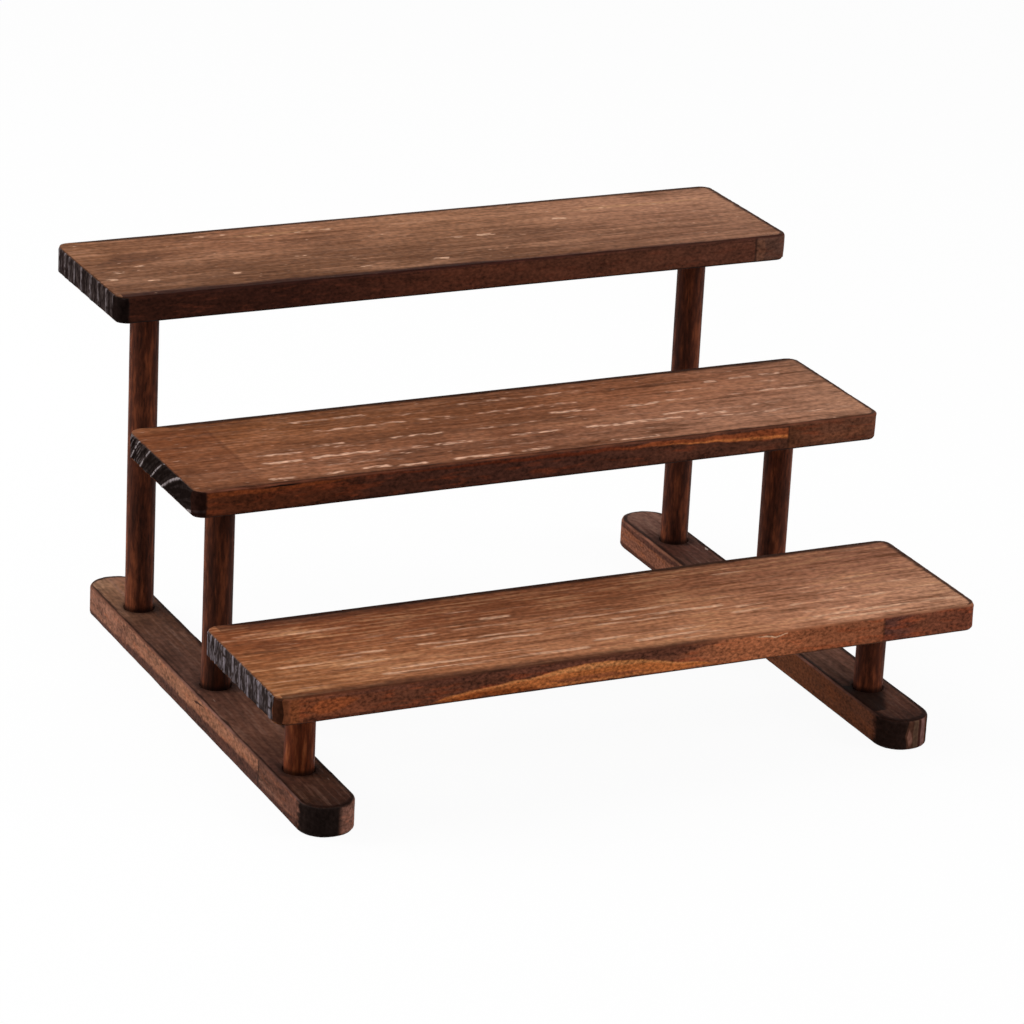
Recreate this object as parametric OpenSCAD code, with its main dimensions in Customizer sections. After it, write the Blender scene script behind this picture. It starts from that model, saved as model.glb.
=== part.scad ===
// Three-tier wooden display riser: three shelf boards stand on six round posts,
// and the posts stand in two floor rails.
// Millimetres. The floor is z = 0, the shelves run along X, and the low tier is at the front, -Y.
// Each post stands in a blind socket in a rail, where a countersunk wood screw comes up through
// the rail into its foot. Its top sits in a blind socket under the shelf, turned onto a
// double-ended screw that shows nowhere.

/* [Shelf boards] */
// Length of a shelf board, end to end
shelf_length = 400; // [300:5:500]
// Depth of a shelf board, front to back
shelf_depth = 100; // [60:1:130]
// Thickness of a shelf board
shelf_thick = 15; // [13:0.5:20]
// Radius of a shelf board's upright corners
shelf_corner_r = 7; // [4:0.5:15]
// Radius of a shelf board's eased arrises
shelf_arris_r = 1.5; // [0.5:0.25:2]

/* [Tiers] */
// Height of the lowest shelf's top face
low_top = 80; // [65:1:120]
// Height of the highest shelf's top face, which is the whole height of the riser
high_top = 215; // [170:1:300]
// Run from one shelf's middle to the next, front to back
tier_run = 115; // [70:1:150]

/* [Posts] */
// Diameter of a post
post_d = 16; // [12:0.5:20]
// From a shelf board's end to the axis of its post
post_inset = 34; // [24:1:80]
// Chamfer on both ends of a post
post_chamfer = 0.8; // [0.4:0.1:1.5]
// Depth of a post's socket in a rail
rail_socket = 7; // [4:0.5:9]
// Chamfer round the mouth of a socket in a rail
socket_mouth = 0.8; // [0.3:0.1:1.5]
// Depth of a post's socket under a shelf board
shelf_socket = 4; // [2:0.5:6]
// Room all round a post in its socket
socket_gap = 0.1; // [0.05:0.05:0.3]

/* [Floor rails] */
// Width of a rail
rail_width = 30; // [24:1:40]
// Height of a rail
rail_height = 17; // [14:0.5:25]
// From the axis of the outer post to the rail's end
rail_toe = 49; // [20:1:70]
// Radius of a rail's upright corners
rail_corner_r = 14; // [4:0.5:14]
// Radius of a rail's eased arrises
rail_arris_r = 1.5; // [0.5:0.25:2]

/* [Rail screws] */
// Diameter over the thread of a rail screw
rail_screw_d = 4; // [3:0.5:5]
// Diameter of a rail screw's countersunk head
rail_screw_head = 8; // [6.5:0.5:10]
// How far a rail screw reaches into a post
rail_screw_bite = 20; // [12:1:26]
// How far a rail screw's head lies above the floor
head_sink = 0.6; // [0.3:0.1:1.5]
// Span of the cross recess in a rail screw's head
recess_span = 4.6; // [3:0.2:5.4]
// Depth of the cross recess in a rail screw's head
recess_depth = 1.4; // [0.8:0.1:2]

/* [Shelf screws] */
// Diameter over the thread of a shelf screw
shelf_screw_d = 5; // [4:0.5:6]
// How far a shelf screw reaches into a post
shelf_screw_bite = 16; // [10:1:24]
// Wood left between the top of a shelf screw and the shelf's top face
top_skin = 3; // [2:0.5:5]

/* [Hidden] */
$fn = 64;
TIERS = ["low", "middle", "high"];
SIDES = ["left", "right"];
function shelf_name(t) = str("shelf_", TIERS[t]);
function rail_name(s) = str("base_rail_", SIDES[s]);
function place_name(word, t, s) = str(word, "_", TIERS[t], "_", SIDES[s]);

wood_top = "#7d5338";
wood_rail = "#5a3a29";
wood_post = "#5b2f1c";
zinc = "#c3c3bd";

// Places of the tiers, which rise in equal steps, and of the two sides
tier_rise = (high_top - low_top) / 2;
function tier_y(t) = (t - 1) * tier_run;
function shelf_under(t) = low_top + t * tier_rise - shelf_thick;
function side_x(s) = (2 * s - 1) * (shelf_length / 2 - post_inset);

// A post reaches from the floor of its rail socket to the roof of its shelf socket
post_foot = rail_height - rail_socket;
function post_head(t) = shelf_under(t) + shelf_socket;

rail_length = 2 * (tier_run + rail_toe);

// A thread's crest clears the bore that it has cut, and the shank clears the rail
thread_gap = 0.05;
shank_gap = 0.2;
// A bore is this much deeper than the screw's tip
bore_spare = 1;
// Proportions of a wood thread, as shares of its diameter over the crests
thread_root = 0.68;
thread_pitch = 0.45;
tip_length = 0.6;
// A rail screw is plain for this far inside the post, and its thread starts there
plain_in_post = 1;
// The plain middle of a shelf screw, half of it in the post and half in the shelf
shelf_screw_collar = 1;
// A countersunk head has a short straight rim below its 90 degree cone
head_rim = 0.3;
recess_width = 1.1;
// A corner radius leaves at least this much flat between itself and the next one
least_flat = 2;
// A cutting shape runs this far past the face that it opens
past = 1;

function fit_radius(radius, width) = min(radius, (width - least_flat) / 2);

// Half the cross-section of a board, from its middle plane out to its eased edge
module eased_half(width, thick, arris_r) {
    square([width - arris_r, thick]);
    translate([0, arris_r])
        square([width, thick - 2 * arris_r]);
    for (z = [arris_r, thick - arris_r])
        translate([width - arris_r, z])
            circle(arris_r);
}

// The whole cross-section, as wide as the board
module eased_section(width, thick, arris_r) {
    for (side = [0, 1])
        mirror([side, 0])
            eased_half(width / 2, thick, arris_r);
}

// A flat board with round upright corners and eased arrises, its underside on z = 0
module eased_board(size_x, size_y, thick, corner_r, arris_r) {
    run_x = size_x - 2 * corner_r;
    run_y = size_y - 2 * corner_r;
    for (x = [-run_x / 2, run_x / 2], y = [-run_y / 2, run_y / 2])
        translate([x, y, 0])
            rotate_extrude()
                eased_half(corner_r, thick, arris_r);
    translate([-run_x / 2, 0, 0])
        rotate([90, 0, 90])
            linear_extrude(run_x)
                eased_section(size_y, thick, arris_r);
    translate([0, run_y / 2, 0])
        rotate([90, 0, 0])
            linear_extrude(run_y)
                eased_section(size_x, thick, arris_r);
}

// A threaded length with a pointed tip, from z = 0 up
module thread(diameter, length) {
    crest = diameter / 2;
    root = crest * thread_root;
    wound = length - diameter * tip_length;
    turns = max(1, floor(wound / (diameter * thread_pitch)));
    pitch = wound / turns;
    rotate_extrude()
        polygon([
            [0, 0],
            for (i = [0:turns - 1]) each [[root, i * pitch], [crest, (i + 0.5) * pitch]],
            [root, wound],
            [0, length]
        ]);
}

// A shelf board, with a socket and a screw bore over each of its two posts
module shelf(t) {
    color(wood_top)
        difference() {
            translate([0, tier_y(t), shelf_under(t)])
                eased_board(shelf_length, shelf_depth, shelf_thick,
                    fit_radius(shelf_corner_r, shelf_depth), shelf_arris_r);
            for (s = [0:1])
                translate([side_x(s), tier_y(t), shelf_under(t)]) {
                    translate([0, 0, -past])
                        cylinder(d = post_d + 2 * socket_gap, h = shelf_socket + past);
                    cylinder(d = shelf_screw_d + 2 * thread_gap,
                        h = shelf_thick - top_skin + bore_spare);
                }
        }
}

// A floor rail, with a socket for each post and a countersunk bore under it
module base_rail(s) {
    color(wood_rail)
        difference() {
            translate([side_x(s), 0, 0])
                eased_board(rail_width, rail_length, rail_height,
                    fit_radius(rail_corner_r, rail_width), rail_arris_r);
            for (t = [0:2])
                translate([side_x(s), tier_y(t), 0]) {
                    translate([0, 0, post_foot])
                        cylinder(d = post_d + 2 * socket_gap, h = rail_socket + past);
                    translate([0, 0, rail_height - socket_mouth])
                        cylinder(r1 = post_d / 2 + socket_gap,
                            r2 = post_d / 2 + socket_gap + socket_mouth + past,
                            h = socket_mouth + past);
                    translate([0, 0, -past])
                        cylinder(d = rail_screw_d + 2 * shank_gap, h = post_foot + 2 * past);
                    head_seat();
                }
        }
}

// The countersink under a rail: a short bore, then the 90 degree cone that the head draws into
module head_seat() {
    seat_r = rail_screw_head / 2 + thread_gap;
    rotate_extrude()
        polygon([
            [0, -past],
            [seat_r, -past],
            [seat_r, head_sink + head_rim],
            [0, head_sink + head_rim + seat_r]
        ]);
}

// A round post with chamfered ends, bored for the screw at its foot and the one in its top
module post(t, s) {
    length = post_head(t) - post_foot;
    r = post_d / 2;
    color(wood_post)
        translate([side_x(s), tier_y(t), post_foot])
            difference() {
                rotate_extrude()
                    polygon([
                        [0, 0],
                        [r - post_chamfer, 0],
                        [r, post_chamfer],
                        [r, length - post_chamfer],
                        [r - post_chamfer, length],
                        [0, length]
                    ]);
                translate([0, 0, -past])
                    cylinder(d = rail_screw_d + 2 * thread_gap,
                        h = rail_screw_bite + bore_spare + past);
                translate([0, 0, length - shelf_screw_bite - bore_spare])
                    cylinder(d = shelf_screw_d + 2 * thread_gap,
                        h = shelf_screw_bite + bore_spare + past);
            }
}

// A countersunk wood screw, from its head in the rail's underside up into the post's foot
module rail_screw(t, s) {
    head_r = rail_screw_head / 2;
    shank_r = rail_screw_d * thread_root / 2;
    thread_start = post_foot + plain_in_post;
    color(zinc)
        translate([side_x(s), tier_y(t), 0]) {
            difference() {
                rotate_extrude()
                    polygon([
                        [0, head_sink],
                        [head_r, head_sink],
                        [head_r, head_sink + head_rim],
                        [shank_r, head_sink + head_rim + head_r - shank_r],
                        [shank_r, thread_start + plain_in_post],
                        [0, thread_start + plain_in_post]
                    ]);
                for (turn = [0, 90])
                    rotate([0, 0, turn])
                        translate([-recess_span / 2, -recess_width / 2, head_sink - past])
                            cube([recess_span, recess_width, recess_depth + past]);
            }
            translate([0, 0, thread_start])
                thread(rail_screw_d, rail_screw_bite - plain_in_post);
        }
}

// A double-ended screw: one point down in the post, the other up in the shelf board
module shelf_screw(t, s) {
    half = shelf_screw_collar / 2;
    color(zinc)
        translate([side_x(s), tier_y(t), post_head(t)]) {
            translate([0, 0, -half])
                cylinder(d = shelf_screw_d * thread_root, h = shelf_screw_collar);
            translate([0, 0, half])
                thread(shelf_screw_d, shelf_thick - shelf_socket - top_skin - half);
            translate([0, 0, -half])
                mirror([0, 0, 1])
                    thread(shelf_screw_d, shelf_screw_bite - half);
        }
}

for (t = [0:2]) {
    shelf(t);
}
for (s = [0:1]) {
    base_rail(s);
}
for (t = [0:2], s = [0:1]) {
    post(t, s);
    rail_screw(t, s);
    shelf_screw(t, s);
}
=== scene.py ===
"""Three-tier display riser in flame-torched, brushed pine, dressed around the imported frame.

Three shelf boards stand on round dowel posts, and the posts stand in two floor rails. The wood is
finger-jointed pine: scorched with a flame, brushed along the grain and stained brown. Its sawn
ends are charred black, and their hard growth rings stand proud and ashen.
Sizes in this file are millimetres unless a name says otherwise, and meshes are made in metres.
"""
import bisect
import logging
import math
from dataclasses import dataclass, field
from enum import Enum

import bmesh
import bpy
from mathutils import Matrix, Vector, noise


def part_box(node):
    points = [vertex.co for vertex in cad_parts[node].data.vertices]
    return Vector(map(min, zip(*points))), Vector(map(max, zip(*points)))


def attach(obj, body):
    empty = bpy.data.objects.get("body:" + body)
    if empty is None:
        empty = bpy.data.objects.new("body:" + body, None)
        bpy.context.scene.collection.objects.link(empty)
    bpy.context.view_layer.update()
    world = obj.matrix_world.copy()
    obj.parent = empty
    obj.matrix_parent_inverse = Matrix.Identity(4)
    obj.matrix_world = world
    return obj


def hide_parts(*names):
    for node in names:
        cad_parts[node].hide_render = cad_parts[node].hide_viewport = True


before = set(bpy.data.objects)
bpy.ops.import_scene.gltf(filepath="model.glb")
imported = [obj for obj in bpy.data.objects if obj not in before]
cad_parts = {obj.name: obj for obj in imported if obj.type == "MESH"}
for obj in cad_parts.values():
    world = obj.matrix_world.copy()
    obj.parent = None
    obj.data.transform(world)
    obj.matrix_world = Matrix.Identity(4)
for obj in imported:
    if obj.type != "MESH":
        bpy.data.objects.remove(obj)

LOG = logging.getLogger("display_riser")
MM = 0.001
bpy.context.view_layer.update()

# Node kinds and settings that the finishes use again and again
MATH = "ShaderNodeMath"
VECTOR = "ShaderNodeVectorMath"
RANGE = "ShaderNodeMapRange"
MIX = "ShaderNodeMix"
NOISE = "ShaderNodeTexNoise"
MAPPING = "ShaderNodeMapping"
SPLIT = "ShaderNodeSeparateXYZ"
RAMP = "ShaderNodeValToRGB"
PRINCIPLED = "ShaderNodeBsdfPrincipled"
OUTPUT = "ShaderNodeOutputMaterial"
ADD = {"operation": "ADD"}
SUBTRACT = {"operation": "SUBTRACT"}
MULTIPLY = {"operation": "MULTIPLY"}
MULTIPLY_ADD = {"operation": "MULTIPLY_ADD"}
ABSOLUTE = {"operation": "ABSOLUTE"}
MAXIMUM = {"operation": "MAXIMUM"}
MINIMUM = {"operation": "MINIMUM"}
FRACTION = {"operation": "FRACT"}
LENGTH = {"operation": "LENGTH"}
DISTANCE = {"operation": "DISTANCE"}
SMOOTH = {"interpolation_type": "SMOOTHSTEP"}
UNCLAMPED = {"clamp": False}
COLOUR = {"data_type": "RGBA"}
SHADE = {"data_type": "RGBA", "blend_type": "MULTIPLY"}
# Sockets of a Mix node that is set to colours
FACTOR, FIRST, SECOND = 0, 6, 7

Place = tuple[float, float, float]
# Colours along a piece, as (place along it, sRGB colour) in order
Run = tuple[tuple[float, str], ...]


class Tier(Enum):
    """The three levels, from the front one to the back one."""

    LOW = "low"
    MIDDLE = "middle"
    HIGH = "high"


class Side(Enum):
    """The two sides, seen from the front."""

    LEFT = "left"
    RIGHT = "right"


def linear(colour: str) -> tuple[float, float, float, float]:
    """Turns a colour into Blender's linear light.

    Args:
        colour: sRGB colour as six hex digits after a hash mark.

    Returns:
        Linear red, green, blue and an alpha of one.
    """
    parts = [int(colour[i:i + 2], 16) / 255 for i in (1, 3, 5)]
    lit = [p / 12.92 if p <= 0.04045 else ((p + 0.055) / 1.055) ** 2.4 for p in parts]
    return lit[0], lit[1], lit[2], 1.0


def smoothstep(low: float, high: float, value: float) -> float:
    """Returns 0 below low, 1 above high and an even curve between; low may be above high."""
    share = min(1.0, max(0.0, (value - low) / (high - low)))
    return share * share * (3 - 2 * share)


def node_box(name: str) -> tuple[Vector, Vector]:
    """Returns the low and the high corner of a node in the frame, in millimetres."""
    low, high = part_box(name)
    return low / MM, high / MM


def add_node(
    tree: bpy.types.NodeTree,
    kind: str,
    settings: dict[str, object] | None = None,
    inputs: dict[int | str, object] | None = None,
) -> bpy.types.Node:
    """Adds one node with its settings and links.

    Args:
        tree: the material's or world's node tree.
        kind: the node's type name.
        settings: the node's own properties; stops gives a colour ramp its (place, colour) pairs.
        inputs: a value, a socket or a node for each input, by name or index. A node stands for
            its first output in use.

    Returns:
        The new node.
    """
    node = tree.nodes.new(kind)
    for name, value in (settings or {}).items():
        if name == "stops":
            elements = node.color_ramp.elements
            for i, (place, colour) in enumerate(value):
                element = elements[i] if i < len(elements) else elements.new(place)
                element.position = place
                element.color = colour
        else:
            setattr(node, name, value)
    for name, value in (inputs or {}).items():
        if isinstance(value, bpy.types.Node):
            value = next(output for output in value.outputs if output.enabled)
        if isinstance(value, bpy.types.NodeSocket):
            tree.links.new(value, node.inputs[name])
        else:
            node.inputs[name].default_value = value
    return node


def new_material(name: str) -> bpy.types.Material:
    """Returns a new material whose node tree is still empty."""
    material = bpy.data.materials.new(name)
    material.use_nodes = True
    material.node_tree.nodes.clear()
    return material


def own_place(tree: bpy.types.NodeTree, origin: Place, turn: float = 0.0) -> bpy.types.Node:
    """Tells where each point lies in a piece's own frame, in millimetres.

    Args:
        tree: the material's node tree.
        origin: the frame's origin on the riser.
        turn: its turn about the upright axis, in radians.

    Returns:
        The node that gives the place.
    """
    coords = add_node(tree, "ShaderNodeTexCoord")
    return add_node(tree, MAPPING, {"vector_type": "TEXTURE"}, {
        "Vector": coords.outputs["Object"],
        "Location": tuple(c * MM for c in origin),
        "Rotation": (0, 0, turn),
        "Scale": (MM,) * 3,
    })


@dataclass(frozen=True)
class Pattern:
    """Noise whose blotches have a real size.

    Attributes:
        size: rough length of a blotch along the piece's three axes.
        offset: what is added to the piece's seed, so that no two of its patterns are alike.
        detail: how many finer layers lie on it.
    """

    size: Place
    offset: float = 0.0
    detail: float = 2.0

    def draw(self, tree: bpy.types.NodeTree, place: bpy.types.Node, seed: float) -> bpy.types.Node:
        """Draws the pattern on a piece.

        Args:
            tree: the material's node tree.
            place: the node that gives millimetres in the piece's own frame.
            seed: offset that makes the piece's patterns its own.

        Returns:
            The noise node, whose value is about 0.5 on average.
        """
        shift = seed + self.offset
        spot = add_node(tree, MAPPING, inputs={
            "Vector": place,
            "Location": (shift, shift * 1.31, shift * 0.77),
            "Scale": tuple(1 / s for s in self.size),
        })
        return add_node(tree, NOISE, inputs={
            "Vector": spot, "Scale": 1.0, "Detail": self.detail, "Roughness": 0.55,
        })


# What is drawn on a torched plank, by its size along, across and up the plank. The real grain is
# too fine to show at the riser's size in the render, so its streaks are drawn about 2 mm wide.
FIBRE = Pattern((28, 2.2, 2.2), 0, 3)
CLOUD = Pattern((60, 22, 22), 2)
TOP_WANDER = Pattern((26, 60, 60), 13, 1)
TOP_MOTTLE = Pattern((3.6, 2.4, 2.4), 17, 1)
RAGGED_BURN = Pattern((12, 5, 5), 14)
SPECK = Pattern((2.1, 1.7, 1.4), 6)
SIDE_CLOUD = Pattern((26, 12, 5), 7)
SIDE_WANDER = Pattern((14, 40, 9), 15)
GLOW = Pattern((15, 6, 2.6), 12, 3)
BROKEN_RING = Pattern((2, 1.8, 5), 8)
CLEAN_BLOT = Pattern((4, 4.5, 3.5), 10, 1)
END_MOTTLE = Pattern((3, 1.8, 2.6), 18)
RAGGED_CHAR = Pattern((5, 3, 3), 9)
RUBBED_BLOTCH = Pattern((14, 5, 5), 11, 3)
RAGGED_RIM = Pattern((9, 3, 3), 16)
# What is drawn on a dowel post, whose grain runs up
POST_FIBRE = Pattern((1.7, 1.7, 9), 0, 3)
POST_STREAK = Pattern((4.5, 4.5, 45), 1)
POST_PORE = Pattern((1, 1, 6), 2, 1)
# What is drawn on the screws
DULL_CLOUD = Pattern((2.5, 2.5, 2.5), 0, 3)
THREAD_RUB = Pattern((0.5, 0.5, 0.2), 1)


def tone_run(tree: bpy.types.NodeTree, along: bpy.types.NodeSocket, run: Run) -> bpy.types.Node:
    """Blends colours along a piece.

    Args:
        tree: the material's node tree.
        along: the place along the piece.
        run: its colours from one end to the other.

    Returns:
        The node that gives the colour.
    """
    start, end = run[0][0], run[-1][0]
    stops = [((place - start) / (end - start), linear(colour)) for place, colour in run]
    return add_node(tree, RAMP, {"stops": stops}, {
        0: add_node(tree, RANGE, inputs={0: along, 1: start, 2: end}),
    })


@dataclass(frozen=True)
class GrainPlan:
    """How a piece was sawn from the log, which sets its rings on every face alike.

    Attributes:
        pith_y: the log's heart, across the piece from its middle.
        pith_z: the log's heart, above the piece's top face.
        rings: how far from the heart each summer ends at the left end, outwards.
        sway: how far the rings wander along the piece.
        seed: offset that makes this piece's patterns its own.
        start: the left end, where the rings lie as rings says.
        seams: finger joints, as places along the piece.
        summer: share of a year's growth that is hard summer wood.
    """

    pith_y: float
    pith_z: float
    rings: tuple[float, ...]
    sway: float
    seed: float
    start: float = -200.0
    seams: tuple[float, ...] = ()
    summer: float = 0.3

    def year(self, spot: Vector) -> float:
        """Counts the years of growth at a place, from the first of the rings.

        Args:
            spot: a place in the piece's own frame: along, across, above the top face.

        Returns:
            Years; each whole number is the end of a summer.
        """
        seeded = Vector((self.seed,) * 3)
        wander = noise.noise(Vector((spot.x / 150, spot.y / 34, spot.z / 22)) + seeded)
        wander += 0.22 * noise.noise(Vector((spot.x / 38, spot.y / 9, spot.z / 9)) + seeded)
        wander *= self.sway * smoothstep(0, 60, spot.x - self.start)
        radius = math.hypot(spot.y - self.pith_y, spot.z - self.pith_z) + wander
        last = min(max(bisect.bisect(self.rings, radius), 1), len(self.rings) - 1)
        share = (radius - self.rings[last - 1]) / (self.rings[last] - self.rings[last - 1])
        # Each block past a finger joint comes from elsewhere in the log
        blocks = sum(1 for seam in self.seams if spot.x > seam)
        return last - 1 + share + 0.37 * blocks

    def hardness(self, spot: Vector) -> float:
        """Returns 1 on a hard summer ring and 0 in the soft spring wood between."""
        share = self.year(spot) % 1.0
        return smoothstep(1 - self.summer, 1 - self.summer / 2, share) * smoothstep(1, 0.94, share)


@dataclass(frozen=True)
class PlankShape:
    """A plank's size, place and the cuts that give its mesh detail.

    Attributes:
        centre: middle of the top face in the riser's frame.
        turn: turn about the upright axis from the piece's own frame, in radians.
        length: size along the grain.
        width: size across the grain.
        thick: height.
        corner_r: radius of the upright corners.
        arris_r: radius of the eased arrises.
        step_along: spacing of the mesh's cuts along the grain.
        step_across: spacing of the cuts across the grain.
        step_up: spacing of the cuts up the sides.
        shift: how far the cuts are moved off the round places, where other edges lie.
    """

    centre: Place
    turn: float
    length: float
    width: float
    thick: float
    corner_r: float
    arris_r: float
    step_along: float = 4.0
    step_across: float = 1.0
    step_up: float = 1.5
    shift: float = 0.03

    def block(self) -> bmesh.types.BMesh:
        """Shapes the eased block and cuts it fine enough to be weathered.

        Returns:
            A mesh in the piece's own frame, in millimetres, with its top face on z = 0.
        """
        bm = bmesh.new()
        bmesh.ops.create_cube(bm, size=1.0)
        bmesh.ops.scale(bm, vec=(self.length, self.width, self.thick), verts=bm.verts)
        bmesh.ops.translate(bm, vec=(0, 0, -self.thick / 2), verts=bm.verts)
        upright = [e for e in bm.edges if abs(e.verts[0].co.z - e.verts[1].co.z) > 1]
        bmesh.ops.bevel(bm, geom=upright, offset=self.corner_r, offset_type="OFFSET",
                        segments=10, profile=0.5, affect="EDGES", material=-1)
        bm.normal_update()
        rim = [e for e in bm.edges if sum(abs(f.normal.z) > 0.9 for f in e.link_faces) == 1]
        bmesh.ops.bevel(bm, geom=rim, offset=self.arris_r, offset_type="OFFSET",
                        segments=4, profile=0.5, affect="EDGES", material=-1)
        for axis, low, span, step in (
            (0, -self.length / 2, self.length, self.step_along),
            (1, -self.width / 2, self.width, self.step_across),
            (2, -self.thick, self.thick, self.step_up),
        ):
            count = round(span / step)
            for i in range(1, count):
                self.cut(bm, axis, low + i * span / count + self.shift)
        return bm

    @staticmethod
    def cut(bm: bmesh.types.BMesh, axis: int, place: float) -> None:
        """Cuts the mesh along a plane, leaving both halves.

        Args:
            bm: the mesh.
            axis: 0, 1 or 2 for the axis that the plane crosses.
            place: where it crosses the axis.
        """
        normal = Vector((0, 0, 0))
        normal[axis] = 1
        everything = bm.verts[:] + bm.edges[:] + bm.faces[:]
        bmesh.ops.bisect_plane(bm, geom=everything, dist=0.01, plane_co=normal * place,
                               plane_no=normal)

    def placing(self) -> Matrix:
        """Returns the matrix from the piece's own millimetres to the riser's metres."""
        spot = Vector(self.centre) * MM
        return (Matrix.Translation(spot) @ Matrix.Rotation(self.turn, 4, "Z")
                @ Matrix.Scale(MM, 4))


@dataclass(frozen=True)
class Wear:
    """How deep the brush and the flame ate into a plank, in millimetres.

    Attributes:
        end_relief: depth of the soft wood between the rings on the sawn ends.
        face_relief: depth of the brushed grain on the faces.
        arris_loss: most that is worn off an arris.
    """

    end_relief: float = 0.5
    face_relief: float = 0.16
    arris_loss: float = 0.55

    def weather(self, bm: bmesh.types.BMesh, grain: GrainPlan) -> None:
        """Wears a block down along its grain and notes each point's year of growth on it.

        Args:
            bm: the block in its own frame, in millimetres.
            grain: how it was sawn.
        """
        years = bm.verts.layers.float.new("year")
        bm.normal_update()
        seeded = Vector((grain.seed,) * 3)
        moves = []
        for vert in bm.verts:
            spot, normal = vert.co.copy(), vert.normal.copy()
            on_end = smoothstep(0.45, 0.8, abs(normal.x))
            facing = max(abs(normal.x), abs(normal.y), abs(normal.z))
            on_arris = smoothstep(0.97, 0.8, facing) * smoothstep(0.15, 0.4, abs(normal.z))
            brushed = noise.noise(Vector((spot.x / 26, spot.y / 1.9, spot.z / 1.9)) + seeded)
            ragged = noise.noise(spot / 17 + seeded) + 0.6 * noise.noise(spot / 5 + seeded)
            soft = 1 - grain.hardness(spot)
            depth = self.end_relief * on_end * soft * (0.75 + 0.5 * ragged)
            depth += self.face_relief * (1 - on_end) * (0.5 + 0.5 * brushed) * (0.4 + 0.6 * soft)
            depth += self.arris_loss * on_arris * max(0.0, 0.35 + ragged)
            vert[years] = grain.year(spot)
            moves.append((vert, normal * -max(0.0, depth)))
        for vert, move in moves:
            vert.co += move


def new_piece(name: str, bm: bmesh.types.BMesh) -> bpy.types.Object:
    """Makes an object of a finished mesh.

    Args:
        name: the piece's name.
        bm: its mesh in metres in the riser's frame, which is freed.

    Returns:
        The object, at the origin and unturned.
    """
    bmesh.ops.recalc_face_normals(bm, faces=bm.faces)
    mesh = bpy.data.meshes.new(name)
    bm.to_mesh(mesh)
    bm.free()
    piece = bpy.data.objects.new(name, mesh)
    bpy.context.scene.collection.objects.link(piece)
    return piece


def turned(profile: list[tuple[float, float]], steps: int = 48) -> bmesh.types.BMesh:
    """Turns a profile round the upright axis into a closed solid.

    Args:
        profile: (radius, height) points, the first and the last on the axis.
        steps: how many facets go round.

    Returns:
        The turned mesh, in the profile's own unit.
    """
    bm = bmesh.new()
    points = [bm.verts.new((radius, 0, height)) for radius, height in profile]
    edges = [bm.edges.new(pair) for pair in zip(points, points[1:])]
    bmesh.ops.spin(bm, geom=points + edges, cent=(0, 0, 0), axis=(0, 0, 1), dvec=(0, 0, 0),
                   angle=math.tau, steps=steps, use_merge=True)
    bmesh.ops.remove_doubles(bm, verts=bm.verts, dist=1e-4)
    bmesh.ops.recalc_face_normals(bm, faces=bm.faces)
    return bm


def carve(piece: bpy.types.Object, profile: list[tuple[float, float]], spots: list[Place]) -> None:
    """Cuts a turned hole out of a piece at each of several spots.

    Args:
        piece: the piece, which keeps the cut mesh and no modifier.
        profile: the hole's (radius, height) points in millimetres, from axis to axis.
        spots: the foot of each hole's axis, in millimetres.
    """
    drills = bmesh.new()
    for spot in spots:
        drill = turned(profile)
        bmesh.ops.translate(drill, vec=spot, verts=drill.verts)
        held = bpy.data.meshes.new("drill")
        drill.to_mesh(held)
        drill.free()
        drills.from_mesh(held)
        bpy.data.meshes.remove(held)
    bmesh.ops.scale(drills, vec=(MM,) * 3, verts=drills.verts)
    tool = new_piece("drills", drills)
    cut = piece.modifiers.new("carve", "BOOLEAN")
    cut.operation = "DIFFERENCE"
    cut.solver = "EXACT"
    cut.object = tool
    solid = piece.evaluated_get(bpy.context.evaluated_depsgraph_get())
    carved = bpy.data.meshes.new_from_object(solid)
    piece.modifiers.clear()
    blank = piece.data
    piece.data = carved
    bpy.data.meshes.remove(blank)
    drilled = tool.data
    bpy.data.objects.remove(tool)
    bpy.data.meshes.remove(drilled)


def smooth_faces(piece: bpy.types.Object, sharp_above: float = 38.0) -> None:
    """Shades a piece smooth, apart from edges that turn by more than an angle in degrees."""
    piece.data.shade_smooth()
    piece.data.set_sharp_from_angle(angle=math.radians(sharp_above))


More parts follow.
